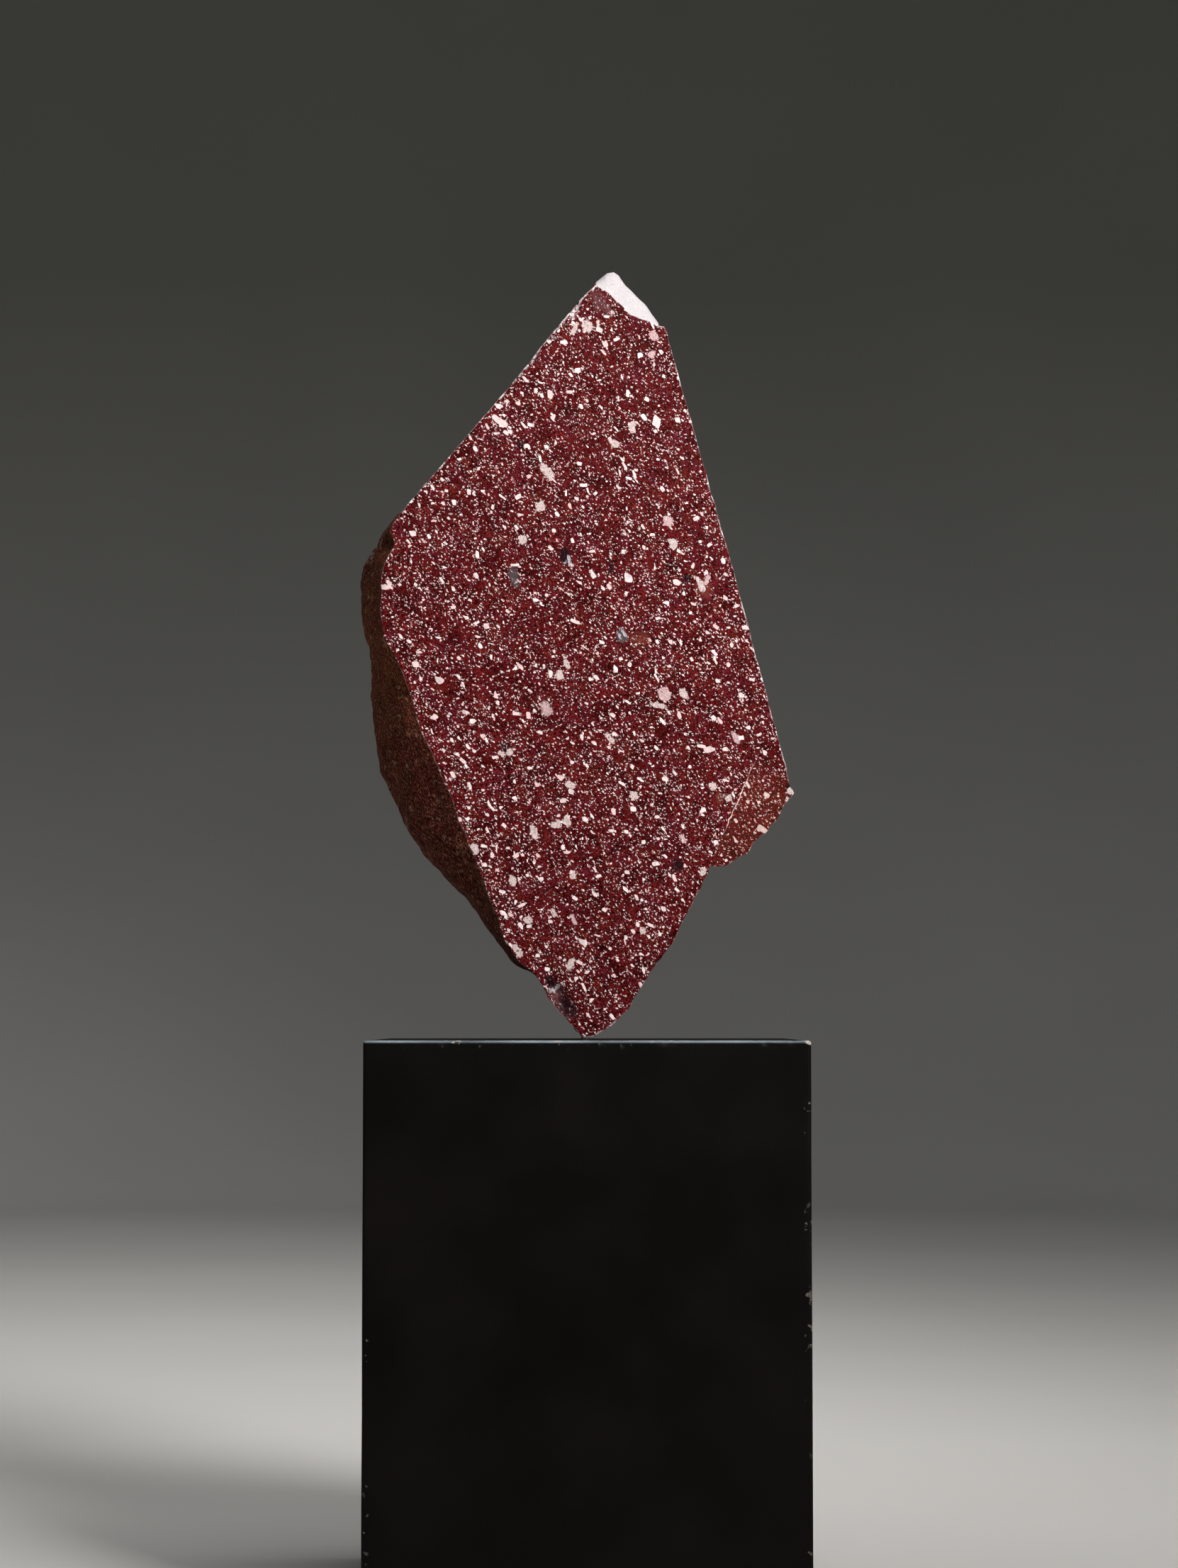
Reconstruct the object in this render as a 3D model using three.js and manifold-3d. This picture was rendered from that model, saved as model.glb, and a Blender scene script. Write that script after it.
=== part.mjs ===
// A fragment of a worked porphyry slab, standing on its tip on a small display block.
//
// Millimetres, +Z up. The origin is the middle of the block's underside, +X runs to the right along
// the block's front, and +Y runs towards its back. The stone has axes of its own: x along its cut
// face, y from that face into the stone, and z up from its tip.

import * as THREE from 'three';
import { mergeVertices } from 'three/addons/utils/BufferGeometryUtils.js';
import Module from 'manifold-3d';

const wasm = await Module();
wasm.setup();

// Display block: a square wooden block with its sharp edges taken off.
const BLOCK_WIDTH = 155;
const BLOCK_HEIGHT = 200;
const BLOCK_EASED_EDGE = 1;

// Stone: a slab with a flat cut face, turned a little so that its left side comes forward.
const STONE_TURN_DEG = 9;
const STONE_FACE_Y = -35;
const STONE_LIFT = 0.3;
const SLAB_DEPTH = 75;
const SHOULDER_DEPTH = 12;
const MIDDLE_DEPTH = 40;

// The broken back is not parallel to the face: it lies deeper towards the right and the top.
const BACK_DEPTH_AT_TIP = 62;
const BACK_SLOPE_ACROSS = 0.08;
const BACK_SLOPE_UP = 0.04;
const CROWN_CENTRE = [0, 150];
const CROWN_SCALE = 0.55;
const CROWN_RISE = 9;

// Steel pin, upright, half in the stone and half in the block.
const PIN_DIAMETER = 3;
const PIN_GAP = 0.3;
const PIN_ACROSS_FACE = 3;
const PIN_BEHIND_FACE = 24;
const PIN_IN_STONE = 20;
const PIN_IN_BLOCK = 20;
const PIN_SIDES = 24;

// The slab's corners, clockwise from the left end of the bevel at the top, seen from the face.
// face is the corner on the cut face and back the one that it runs to on the broken back; belly is
// how far the side swells outwards between the two, and shoulder is where a bevel's upper edge lies.
const CORNERS = [
  // The bevel at the top.
  { face: [3.3, 273.3], shoulder: [5.2, 277], back: [4, 268] },
  { face: [8.4, 270.1], shoulder: [9.4, 280.4], back: [9, 266] },
  { face: [11, 267.3], shoulder: [11.6, 280.8], back: [11.5, 264] },
  { face: [13, 265.3], shoulder: [13.3, 279.4], back: [13.5, 262.5] },
  { face: [15.8, 262.9], shoulder: [16.2, 276.1], back: [15.5, 260] },
  { face: [21.6, 260.7], shoulder: [23.4, 269.2], back: [20.5, 255] },
  { face: [26.3, 258.8], shoulder: [28.4, 262.4], back: [24.5, 250] },
  // The long sawn edge on the right.
  { face: [28.3, 258.7], back: [26, 248] },
  { face: [30.1, 253.4], back: [28, 242] },
  { face: [54.1, 168.8], back: [51, 165] },
  { face: [72.8, 99.5], back: [69, 100] },
  // The broken corner at the lower right, down to the notch.
  { face: [74.7, 91], back: [71, 93] },
  { face: [75.6, 89], back: [71.5, 91.5] },
  { face: [74, 86.2], back: [70, 90] },
  { face: [70.2, 80.2], back: [65.5, 85] },
  { face: [65.4, 74], back: [61, 79] },
  { face: [61.6, 71.2], back: [58, 76.5] },
  { face: [58.6, 67], back: [55, 73] },
  { face: [50.2, 62], back: [47.5, 68.5] },
  { face: [44.8, 62.5], back: [42.5, 66] },
  // The broken edge from the notch down to the tip.
  { face: [41.3, 54], back: [39, 58] },
  { face: [34, 40.1], back: [33, 46] },
  { face: [22.8, 23.3], back: [25, 29.5] },
  { face: [14.9, 10.4], back: [20, 18], belly: 1 },
  { face: [9.8, 5.4], back: [16, 13], belly: 2 },
  { face: [1.5, 0.7], back: [10, 7.5], belly: 2.5 },
  { face: [-0.7, 0.7], back: [7, 7], belly: 2.5 },
  // The broken edge from the tip up to the left.
  { face: [-9.6, 9.4], back: [-1.5, 15], belly: 2 },
  { face: [-14, 15.2], back: [-5.5, 20], belly: 1.5 },
  { face: [-17.5, 22], back: [-9, 26.5], belly: 2 },
  { face: [-25.8, 29], back: [-16.5, 33.5], belly: 2.5 },
  // The swelling broken side on the left.
  { face: [-29, 33.5], back: [-20, 39], belly: 3.2 },
  { face: [-34.2, 46.9], back: [-30, 52], belly: 6 },
  { face: [-36.2, 52.3], back: [-33, 57], belly: 7 },
  { face: [-37.6, 56.5], back: [-35.5, 60.5], belly: 9 },
  { face: [-41.3, 65.9], back: [-41, 69], belly: 12.3 },
  { face: [-47.7, 82.3], back: [-50, 86], belly: 15.6 },
  { face: [-56.7, 102.6], back: [-60, 104], belly: 14.8 },
  { face: [-60.5, 110.1], back: [-63.5, 112], belly: 12 },
  { face: [-63.1, 120.3], back: [-65, 122], belly: 10.6 },
  { face: [-68.2, 134.2], back: [-66, 136], belly: 7.8 },
  { face: [-73.5, 143.8], back: [-67.5, 146], belly: 4.8 },
  { face: [-74.9, 151], back: [-68.5, 153], belly: 5.3 },
  { face: [-74.7, 160.2], back: [-69, 162], belly: 6.4 },
  { face: [-73.7, 170], back: [-68, 171], belly: 7 },
  { face: [-69.9, 177], back: [-65.5, 177], belly: 6.7 },
  { face: [-67.8, 184], back: [-63, 183], belly: 4.8 },
  { face: [-64.6, 189.4], back: [-60, 187.5], belly: 4 },
  // The long sawn edge at the upper left.
  { face: [-60, 196], back: [-57.5, 192], belly: 1.6 },
  { face: [-43.2, 217.5], back: [-41, 213] },
  { face: [-23.6, 241.1], back: [-21.5, 236] },
  { face: [-2.4, 267.7], back: [-0.5, 262.5] },
];

// The directions straight out of the outline at each corner.
function outwardDirections(outline) {
  const count = outline.length;
  return outline.map((corner, index) => {
    const before = outline[(index + count - 1) % count];
    const after = outline[(index + 1) % count];
    const along = after.clone().sub(before).normalize();
    return new THREE.Vector2(-along.y, along.x);
  });
}

// One ring of the slab: where every corner lies at a depth behind the face. A side runs straight
// from the face to the back, or by way of its shoulder behind a bevel. Its belly is a parabola that
// is nothing at both ends.
function sideRing(depth) {
  const share = depth / SLAB_DEPTH;
  const swell = 4 * share * (1 - share);
  const outwards = outwardDirections(CORNERS.map(({ face }) => new THREE.Vector2(...face)));
  return CORNERS.map(({ face, shoulder, back, belly = 0 }, index) => {
    const beyondShoulder = shoulder && depth >= SHOULDER_DEPTH;
    const start = beyondShoulder ? SHOULDER_DEPTH : 0;
    const place = new THREE.Vector2(...(beyondShoulder ? shoulder : face));
    place.lerp(new THREE.Vector2(...back), (depth - start) / (SLAB_DEPTH - start));
    place.addScaledVector(outwards[index], belly * swell);
    return new THREE.Vector3(place.x, depth, place.y);
  });
}

// The ring along the back's sharp rim, on the back's own sloping plane.
function backRing() {
  return CORNERS.map(({ back: [across, up] }) => {
    const depth = BACK_DEPTH_AT_TIP + BACK_SLOPE_ACROSS * across + BACK_SLOPE_UP * up;
    return new THREE.Vector3(across, depth, up);
  });
}

// The ring where the back flattens out, drawn in towards the middle and standing proud of the rim.
function crownRing(rim) {
  const [across, up] = CROWN_CENTRE;
  return rim.map((point) => new THREE.Vector3(
    across + CROWN_SCALE * (point.x - across),
    point.y + CROWN_RISE,
    up + CROWN_SCALE * (point.z - up),
  ));
}

// A closed body through rings of equal length, with a flat lid on the first and on the last.
function loft(rings) {
  const count = rings[0].length;
  const indices = [];
  for (let ring = 0; ring < rings.length - 1; ring += 1) {
    for (let corner = 0; corner < count; corner += 1) {
      const next = (corner + 1) % count;
      const near = ring * count;
      const far = near + count;
      indices.push(near + corner, near + next, far + next);
      indices.push(near + corner, far + next, far + corner);
    }
  }
  const last = (rings.length - 1) * count;
  const flatten = (ring) => ring.map((point) => new THREE.Vector2(point.x, point.z));
  for (const [a, b, c] of THREE.ShapeUtils.triangulateShape(flatten(rings[0]), [])) {
    indices.push(a, b, c);
  }
  for (const [a, b, c] of THREE.ShapeUtils.triangulateShape(flatten(rings.at(-1)), [])) {
    indices.push(last + a, last + c, last + b);
  }
  return new THREE.BufferGeometry().setFromPoints(rings.flat()).setIndex(indices);
}

// A geometry as a manifold solid, with its shared vertices merged.
function toSolid(geometry) {
  const bare = geometry.clone();
  bare.deleteAttribute('normal');
  bare.deleteAttribute('uv');
  const merged = mergeVertices(bare);
  return new wasm.Manifold(new wasm.Mesh({
    numProp: 3,
    vertProperties: new Float32Array(merged.attributes.position.array),
    triVerts: new Uint32Array(merged.index.array),
  }));
}

// A manifold solid as a geometry.
function toGeometry(solid) {
  const { vertProperties, triVerts } = solid.getMesh();
  const geometry = new THREE.BufferGeometry();
  geometry.setAttribute('position', new THREE.BufferAttribute(new Float32Array(vertProperties), 3));
  geometry.setIndex(new THREE.BufferAttribute(new Uint32Array(triVerts), 1));
  geometry.computeVertexNormals();
  return geometry;
}

// An upright round bar between two heights.
function uprightBar(diameter, bottom, top) {
  const bar = new THREE.CylinderGeometry(diameter / 2, diameter / 2, top - bottom, PIN_SIDES);
  return bar.rotateX(Math.PI / 2).translate(0, 0, (bottom + top) / 2);
}

// A geometry with a blind hole for the pin, at a place on its ground plan.
function drill(geometry, { x, y }, bottom, top) {
  const bore = uprightBar(PIN_DIAMETER + 2 * PIN_GAP, bottom, top).translate(x, y, 0);
  return toGeometry(toSolid(geometry).subtract(toSolid(bore)));
}

// The stone, in its own axes, with the hole for the pin in its tip.
function stoneGeometry(pinPlace) {
  const rim = backRing();
  const rings = [sideRing(0), sideRing(SHOULDER_DEPTH), sideRing(MIDDLE_DEPTH), rim, crownRing(rim)];
  const belowTip = -1;
  return drill(loft(rings), pinPlace, belowTip, PIN_IN_STONE + PIN_GAP);
}

// The block: a square with its four upright edges and its rims eased, and the pin's hole in its top.
function blockGeometry(pinPlace) {
  const half = BLOCK_WIDTH / 2 - BLOCK_EASED_EDGE;
  const plan = new THREE.Shape([
    new THREE.Vector2(-half, -half),
    new THREE.Vector2(half, -half),
    new THREE.Vector2(half, half),
    new THREE.Vector2(-half, half),
  ]);
  const body = new THREE.ExtrudeGeometry(plan, {
    depth: BLOCK_HEIGHT - 2 * BLOCK_EASED_EDGE,
    bevelThickness: BLOCK_EASED_EDGE,
    bevelSize: BLOCK_EASED_EDGE,
    bevelSegments: 1,
  }).translate(0, 0, BLOCK_EASED_EDGE);
  const aboveTop = BLOCK_HEIGHT + 1;
  return drill(body, pinPlace, BLOCK_HEIGHT - PIN_IN_BLOCK - PIN_GAP, aboveTop);
}

// A named mesh with a material of its own.
function piece(name, geometry, look) {
  const mesh = new THREE.Mesh(geometry, new THREE.MeshStandardMaterial(look));
  mesh.name = name;
  return mesh;
}

// The pin stands behind the face at the tip: once in the stone's own axes, and once on the block.
const turn = THREE.MathUtils.degToRad(STONE_TURN_DEG);
const pinInStone = new THREE.Vector3(PIN_ACROSS_FACE, PIN_BEHIND_FACE, 0);
const pinOnBlock = pinInStone.clone().applyAxisAngle(new THREE.Vector3(0, 0, 1), turn);
pinOnBlock.y += STONE_FACE_Y;

const stone = piece('porphyry_fragment', stoneGeometry(pinInStone), {
  color: 0x7a3231,
  roughness: 0.6,
});
const turnedStone = new THREE.Group();
turnedStone.position.set(0, STONE_FACE_Y, BLOCK_HEIGHT + STONE_LIFT);
turnedStone.rotation.z = turn;
turnedStone.add(stone);

const pinLength = PIN_IN_BLOCK + STONE_LIFT + PIN_IN_STONE;
const pin = piece('mounting_pin', uprightBar(PIN_DIAMETER, 0, pinLength), {
  color: 0x55565a,
  roughness: 0.35,
  metalness: 1,
});
pin.position.set(pinOnBlock.x, pinOnBlock.y, BLOCK_HEIGHT - PIN_IN_BLOCK);

const block = piece('display_block', blockGeometry(pinOnBlock), {
  color: 0x120f0e,
  roughness: 0.5,
});

const group = new THREE.Group();
group.add(block, pin, turnedStone);

export default group;
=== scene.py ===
"""A fragment of a worked porphyry slab, standing on its tip on a small black display block.

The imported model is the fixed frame: it gives the block's and the pin's place and size. The stone
and the block are modelled here as closed surfaces, finer than their plain solids. The stone has
axes of its own: across its cut face, back from that face, and up from its tip. Lengths in the
classes are millimetres, and meshes are made in metres.
"""

from __future__ import annotations

import logging
import math
from dataclasses import dataclass
from enum import Enum

import bpy
import numpy as np
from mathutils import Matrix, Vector

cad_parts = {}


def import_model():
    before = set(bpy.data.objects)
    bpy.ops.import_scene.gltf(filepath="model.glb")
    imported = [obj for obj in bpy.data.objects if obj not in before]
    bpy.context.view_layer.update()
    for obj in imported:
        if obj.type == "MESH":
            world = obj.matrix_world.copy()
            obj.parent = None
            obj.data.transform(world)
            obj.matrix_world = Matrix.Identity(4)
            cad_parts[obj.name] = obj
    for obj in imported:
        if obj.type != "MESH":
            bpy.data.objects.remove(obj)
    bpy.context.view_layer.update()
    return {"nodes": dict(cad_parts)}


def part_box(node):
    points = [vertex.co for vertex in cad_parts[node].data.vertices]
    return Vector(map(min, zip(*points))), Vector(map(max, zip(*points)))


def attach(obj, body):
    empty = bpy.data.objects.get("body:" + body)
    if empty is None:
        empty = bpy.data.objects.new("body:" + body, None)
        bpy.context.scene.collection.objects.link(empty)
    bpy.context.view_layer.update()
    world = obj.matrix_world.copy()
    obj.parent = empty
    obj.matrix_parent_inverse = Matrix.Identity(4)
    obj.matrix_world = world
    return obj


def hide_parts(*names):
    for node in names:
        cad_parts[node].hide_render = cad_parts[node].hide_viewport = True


log = logging.getLogger("porphyry")

MM = 0.001
STONE_FORWARD = 35.0  # from the middle of the block's top to the stone's tip
STONE_GAP = 0.3  # between the block's top and the height that the stone's axes start from
STONE_MIDDLE = 130.0  # above the block's top, where the lights are aimed

Pair = tuple[float, float]
Triple = tuple[float, float, float]
Colour = Triple
Socket = bpy.types.NodeSocket

# ---------------- Relief: smooth random heights at whole arrays of points ----------------

CELL_FACTORS = np.array([374761393, 668265263, 2147483647])
SEED_FACTOR = 1274126177
MIXING_ROUNDS = ((13, 1103515245), (16, 2246822519))
LAST_SHIFT = 15
LOW_BITS = 0xFFFFFFFF


@dataclass(frozen=True)
class Ripple:
    """Random relief of one wavelength, with heights from -height to height, in millimetres."""

    wavelength: float
    height: float
    seed: int

    def _lattice(self, cells: np.ndarray) -> np.ndarray:
        """Random heights of lattice cells.

        A cell's three numbers are mixed by large odd factors and shifts into one 32-bit number,
        which is then scaled.

        Args:
            cells: whole numbers, shaped (..., 3).

        Returns:
            Numbers from -1 to 1, one for each cell.
        """
        mixed = (cells.astype(np.int64) @ CELL_FACTORS + self.seed * SEED_FACTOR) & LOW_BITS
        for shift, factor in MIXING_ROUNDS:
            mixed = ((mixed ^ (mixed >> shift)) * factor) & LOW_BITS
        return (mixed ^ (mixed >> LAST_SHIFT)) / float(LOW_BITS >> 1) - 1.0

    def at(self, points: np.ndarray) -> np.ndarray:
        """Heights at some points.

        Between lattice points the height is blended by the fade 6t^5 - 15t^4 + 10t^3 in each of the
        three directions.

        Args:
            points: places in millimetres, shaped (..., 3).

        Returns:
            Heights in millimetres, shaped (...).
        """
        places = points / self.wavelength
        cells = np.floor(places)
        parts = places - cells
        fade = parts**3 * (parts * (parts * 6.0 - 15.0) + 10.0)
        total = np.zeros(points.shape[:-1])
        for corner in np.ndindex(2, 2, 2):
            weights = np.where(np.array(corner) == 1, fade, 1.0 - fade).prod(axis=-1)
            total += weights * self._lattice(cells + corner)
        return total * self.height


def relief(points: np.ndarray, ripples: tuple[Ripple, ...]) -> np.ndarray:
    """The sum of some ripples' heights at points shaped (..., 3)."""
    return sum(ripple.at(points) for ripple in ripples)


def smooth_step(values: np.ndarray, start: float, end: float) -> np.ndarray:
    """Goes from 0 at start to 1 at end as 3t^2 - 2t^3, and stays level outside them."""
    share = np.clip((values - start) / (end - start), 0.0, 1.0)
    return share * share * (3.0 - 2.0 * share)


# ---------------- Meshes from grids of points ----------------


def ring_quads(count: int, around: int) -> np.ndarray:
    """The faces between rings that follow each other.

    Args:
        count: the number of rings.
        around: the number of points in each.

    Returns:
        Vertex numbers shaped (quads, 4), facing outwards where the rings run clockwise.
    """
    here = np.arange(around)
    following = (here + 1) % around
    starts = (np.arange(count - 1) * around)[:, None]
    onward = starts + around
    corners = [starts + here, starts + following, onward + following, onward + here]
    return np.stack(corners, axis=-1).reshape(-1, 4)


def fan(pole: int, ring: np.ndarray) -> np.ndarray:
    """The triangles between one point and a ring, as vertex numbers shaped (triangles, 3)."""
    return np.stack([np.full(len(ring), pole), ring, np.roll(ring, -1)], axis=-1)


def new_piece(
    name: str, points: np.ndarray, quads: np.ndarray, fans: np.ndarray
) -> bpy.types.Object:
    """Puts a surface into a new smooth-shaded object.

    Args:
        name: the object's name.
        points: places in metres, shaped (points, 3).
        quads: vertex numbers, shaped (quads, 4).
        fans: vertex numbers, shaped (triangles, 3).

    Returns:
        The object, at the origin, unturned and unscaled.
    """
    mesh = bpy.data.meshes.new(name)
    mesh.vertices.add(len(points))
    mesh.vertices.foreach_set("co", points.astype(np.float32).ravel())
    mesh.loops.add(quads.size + fans.size)
    mesh.loops.foreach_set("vertex_index", np.concatenate([quads.ravel(), fans.ravel()]))
    starts = np.concatenate([np.arange(len(quads)) * 4, quads.size + np.arange(len(fans)) * 3])
    mesh.polygons.add(len(starts))
    mesh.polygons.foreach_set("loop_start", starts)
    mesh.polygons.foreach_set("use_smooth", np.ones(len(starts), dtype=bool))
    mesh.update(calc_edges=True)
    mesh.validate()
    piece = bpy.data.objects.new(name, mesh)
    bpy.context.scene.collection.objects.link(piece)
    return piece


@dataclass
class RingBody:
    """A closed body through rings of equal length, closed by a fan of triangles at each end.

    rings is shaped (rings, points, 3) in metres. The first ring is closed on first_pole and the
    last on last_pole. Seen from the first pole's side, each ring runs clockwise.
    """

    rings: np.ndarray
    first_pole: np.ndarray
    last_pole: np.ndarray

    def build(self, name: str) -> bpy.types.Object:
        """Puts the body into a new object.

        Args:
            name: the object's name.

        Returns:
            The object, at the origin.
        """
        count, around = self.rings.shape[:2]
        poles = count * around
        points = np.concatenate([self.rings.reshape(-1, 3), [self.first_pole], [self.last_pole]])
        first = fan(poles, np.arange(around))[:, [0, 2, 1]]
        last = fan(poles + 1, np.arange(poles - around, poles))
        return new_piece(name, points, ring_quads(count, around), np.concatenate([first, last]))

    @staticmethod
    def mark(piece: bpy.types.Object, name: str, values: np.ndarray) -> None:
        """Gives the piece a number at each ring point, and 0 at its poles, for its material."""
        numbers = np.concatenate([values.ravel(), [0.0, 0.0]]).astype(np.float32)
        piece.data.attributes.new(name, "FLOAT", "POINT").data.foreach_set("value", numbers)


def grid_normals(rings: np.ndarray) -> np.ndarray:
    """Outward directions of a grid of rings.

    The direction is the cross product of the step along the ring and the step to the next ring.

    Args:
        rings: points shaped (rings, points, 3).

    Returns:
        Unit vectors of the same shape.
    """
    along = np.roll(rings, -1, axis=1) - np.roll(rings, 1, axis=1)
    onward = np.gradient(rings, axis=0)
    normals = np.cross(along, onward)
    return normals / np.maximum(np.linalg.norm(normals, axis=-1, keepdims=True), 1e-9)


# ---------------- Materials: node trees that are filled in step by step ----------------

MOST = (0.35, 0.65)  # the range that most of a noise's values lie in


class Finish:
    """A material's node tree, with short ways to add the nodes that the finishes share."""

    def __init__(self, name: str) -> None:
        """Starts a material with nothing but its shader."""
        self.material = bpy.data.materials.new(name)
        self.material.use_nodes = True
        self.tree = self.material.node_tree
        self.shader = next(n for n in self.tree.nodes if n.type == "BSDF_PRINCIPLED")

    def node(
        self, kind: str, inputs: dict[str | int, object], **settings: object
    ) -> bpy.types.Node:
        """Adds a node.

        Args:
            kind: the node's type name.
            inputs: for each input's name or number, a socket to link to it or a value to set.
            **settings: the node's own properties.

        Returns:
            The node.
        """
        node = self.tree.nodes.new(kind)
        for key, value in settings.items():
            setattr(node, key, value)
        for key, value in inputs.items():
            if isinstance(value, Socket):
                self.tree.links.new(value, node.inputs[key])
            else:
                node.inputs[key].default_value = value
        return node

    def math(self, operation: str, *values: Socket | float) -> Socket:
        """A Math node's result for one, two or three values."""
        return self.node("ShaderNodeMath", dict(enumerate(values)), operation=operation).outputs[0]

    def times(self, first: Socket, second: Socket | float) -> Socket:
        """The product of two numbers."""
        return self.math("MULTIPLY", first, second)

    def vector(self, operation: str, *values: Socket | Triple, result: str = "Vector") -> Socket:
        """A Vector Math node's result, which is a number where it is called Value."""
        inputs = dict(enumerate(values))
        return self.node("ShaderNodeVectorMath", inputs, operation=operation).outputs[result]

    def along(self, vector: Socket, axis: Triple) -> Socket:
        """How far a vector reaches along an axis, times the axis's length."""
        return self.vector("DOT_PRODUCT", vector, axis, result="Value")

    def scaled(self, vector: Socket, scale: Socket | float) -> Socket:
        """A vector or a colour, times a number."""
        inputs = {0: vector, "Scale": scale}
        return self.node("ShaderNodeVectorMath", inputs, operation="SCALE").outputs["Vector"]

    def parts(self, vector: Socket) -> tuple[Socket, ...]:
        """The three parts of a vector."""
        return tuple(self.node("ShaderNodeSeparateXYZ", {0: vector}).outputs)

    def channels(self, colour: Socket) -> tuple[Socket, ...]:
        """The red, green and blue of a colour."""
        return tuple(self.node("ShaderNodeSeparateColor", {"Color": colour}).outputs)

    def within(self, place: Socket, **axes: Triple) -> Socket:
        """A place in axes of their own Location, Rotation and Scale."""
        inputs = {"Vector": place} | axes
        return self.node("ShaderNodeMapping", inputs, vector_type="TEXTURE").outputs[0]

    def millimetres(self) -> Socket:
        """The place on the piece, in millimetres."""
        return self.scaled(self.node("ShaderNodeTexCoord", {}).outputs["Object"], 1.0 / MM)

    def noises(
        self, place: Socket, size: float, detail: float = 2.0, rough: float = 0.5
    ) -> tuple[Socket, Socket]:
        """A Noise Texture's number and colour. Its largest waves are size millimetres long."""
        inputs = {"Vector": place, "Scale": 1.0 / size, "Detail": detail, "Roughness": rough}
        outputs = self.node("ShaderNodeTexNoise", inputs).outputs
        return outputs["Fac"], outputs["Color"]

    def cloud(self, place: Socket, size: float, **look: float) -> Socket:
        """A Noise Texture's number."""
        return self.noises(place, size, **look)[0]

    def stirred(self, place: Socket, colour: Socket, amount: float) -> Socket:
        """A place that a noise's colour moves, by up to half of amount each way."""
        centred = self.vector("SUBTRACT", colour, (0.5, 0.5, 0.5))
        return self.vector("MULTIPLY_ADD", centred, (amount,) * 3, place)

    def span(
        self, value: Socket, start: float, end: float, low: float = 0.0, high: float = 1.0
    ) -> Socket:
        """Maps start..end to low..high in a straight line, and holds it there outside."""
        inputs = {"Value": value, "From Min": start, "From Max": end, "To Min": low, "To Max": high}
        return self.node("ShaderNodeMapRange", inputs, clamp=True).outputs[0]

    def blend(self, share: Socket, first: Socket | Colour, second: Socket | Colour) -> Socket:
        """Mixes two colours."""
        colours = [c if isinstance(c, Socket) else (*c, 1.0) for c in (first, second)]
        inputs = {0: share, 6: colours[0], 7: colours[1]}
        return self.node("ShaderNodeMix", inputs, data_type="RGBA").outputs[2]

    def pick(self, share: Socket, first: Socket | float, second: Socket | float) -> Socket:
        """Mixes two numbers."""
        inputs = {0: share, 2: first, 3: second}
        return self.node("ShaderNodeMix", inputs, data_type="FLOAT").outputs[0]

    def attribute(self, name: str) -> Socket:
        """A number that the mesh carries at its points."""
        return self.node("ShaderNodeAttribute", {}, attribute_name=name).outputs["Fac"]

    def bump(self, height: Socket, distance: float) -> Socket:
        """A normal from a height, where a height of 1 stands distance millimetres proud."""
        inputs = {"Height": height, "Distance": distance * MM}
        return self.node("ShaderNodeBump", inputs).outputs[0]

    def connect(self, **sockets: Socket) -> None:
        """Links results to the shader's inputs, with underscores standing for spaces."""
        for name, socket in sockets.items():
            self.tree.links.new(socket, self.shader.inputs[name.replace("_", " ")])

    def preset(self, **values: float) -> None:
        """Sets the shader's constant inputs, with underscores standing for spaces."""
        for name, value in values.items():
            self.shader.inputs[name.replace("_", " ")].default_value = value


class Rock(Finish):
    """A porphyry finish's node tree, with the places and noises that all of its layers read.

    exact is the place along the rock's flow. flowing is the same with its outlines stirred, and
    on_stone the stirred place in the stone's own axes. slow bends long lines, clusters is high
    where crystals gather, and fine and coarse are the grain.
    """

    flow_turn: Triple = (0.5, -0.5, -0.4)
    flow_stretch: Triple = (1.0, 1.0, 1.3)
    stirring: tuple[Pair, ...] = ((1.0, 0.4), (3.4, 0.9))

    def __init__(self, name: str, stone_place: np.ndarray, stone_turn: float) -> None:
        """Starts the material.

        Args:
            name: the material's name.
            stone_place: where the stone's axes start, in metres.
            stone_turn: how far they are turned.
        """
        super().__init__(name)
        place = self.millimetres()
        self.exact = self.along_flow(place)
        for size, amount in self.stirring:
            self.slow, colour = self.noises(self.exact, size, detail=1.0)
            place = self.stirred(place, colour, amount)
        start = tuple(stone_place / MM)
        self.on_stone = self.within(place, Location=start, Rotation=(0.0, 0.0, stone_turn))
        self.flowing = self.along_flow(place)
        self.clusters = self.cloud(self.exact, 6.0, detail=1.0)
        self.fine = self.cloud(self.exact, 0.35)
        self.coarse = self.cloud(self.exact, 1.8, detail=3.0, rough=0.6)

    def along_flow(self, place: Socket) -> Socket:
        """Turns a place to the rock's flow, which slants across every side, and shortens it so."""
        return self.within(place, Rotation=self.flow_turn, Scale=self.flow_stretch)


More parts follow.
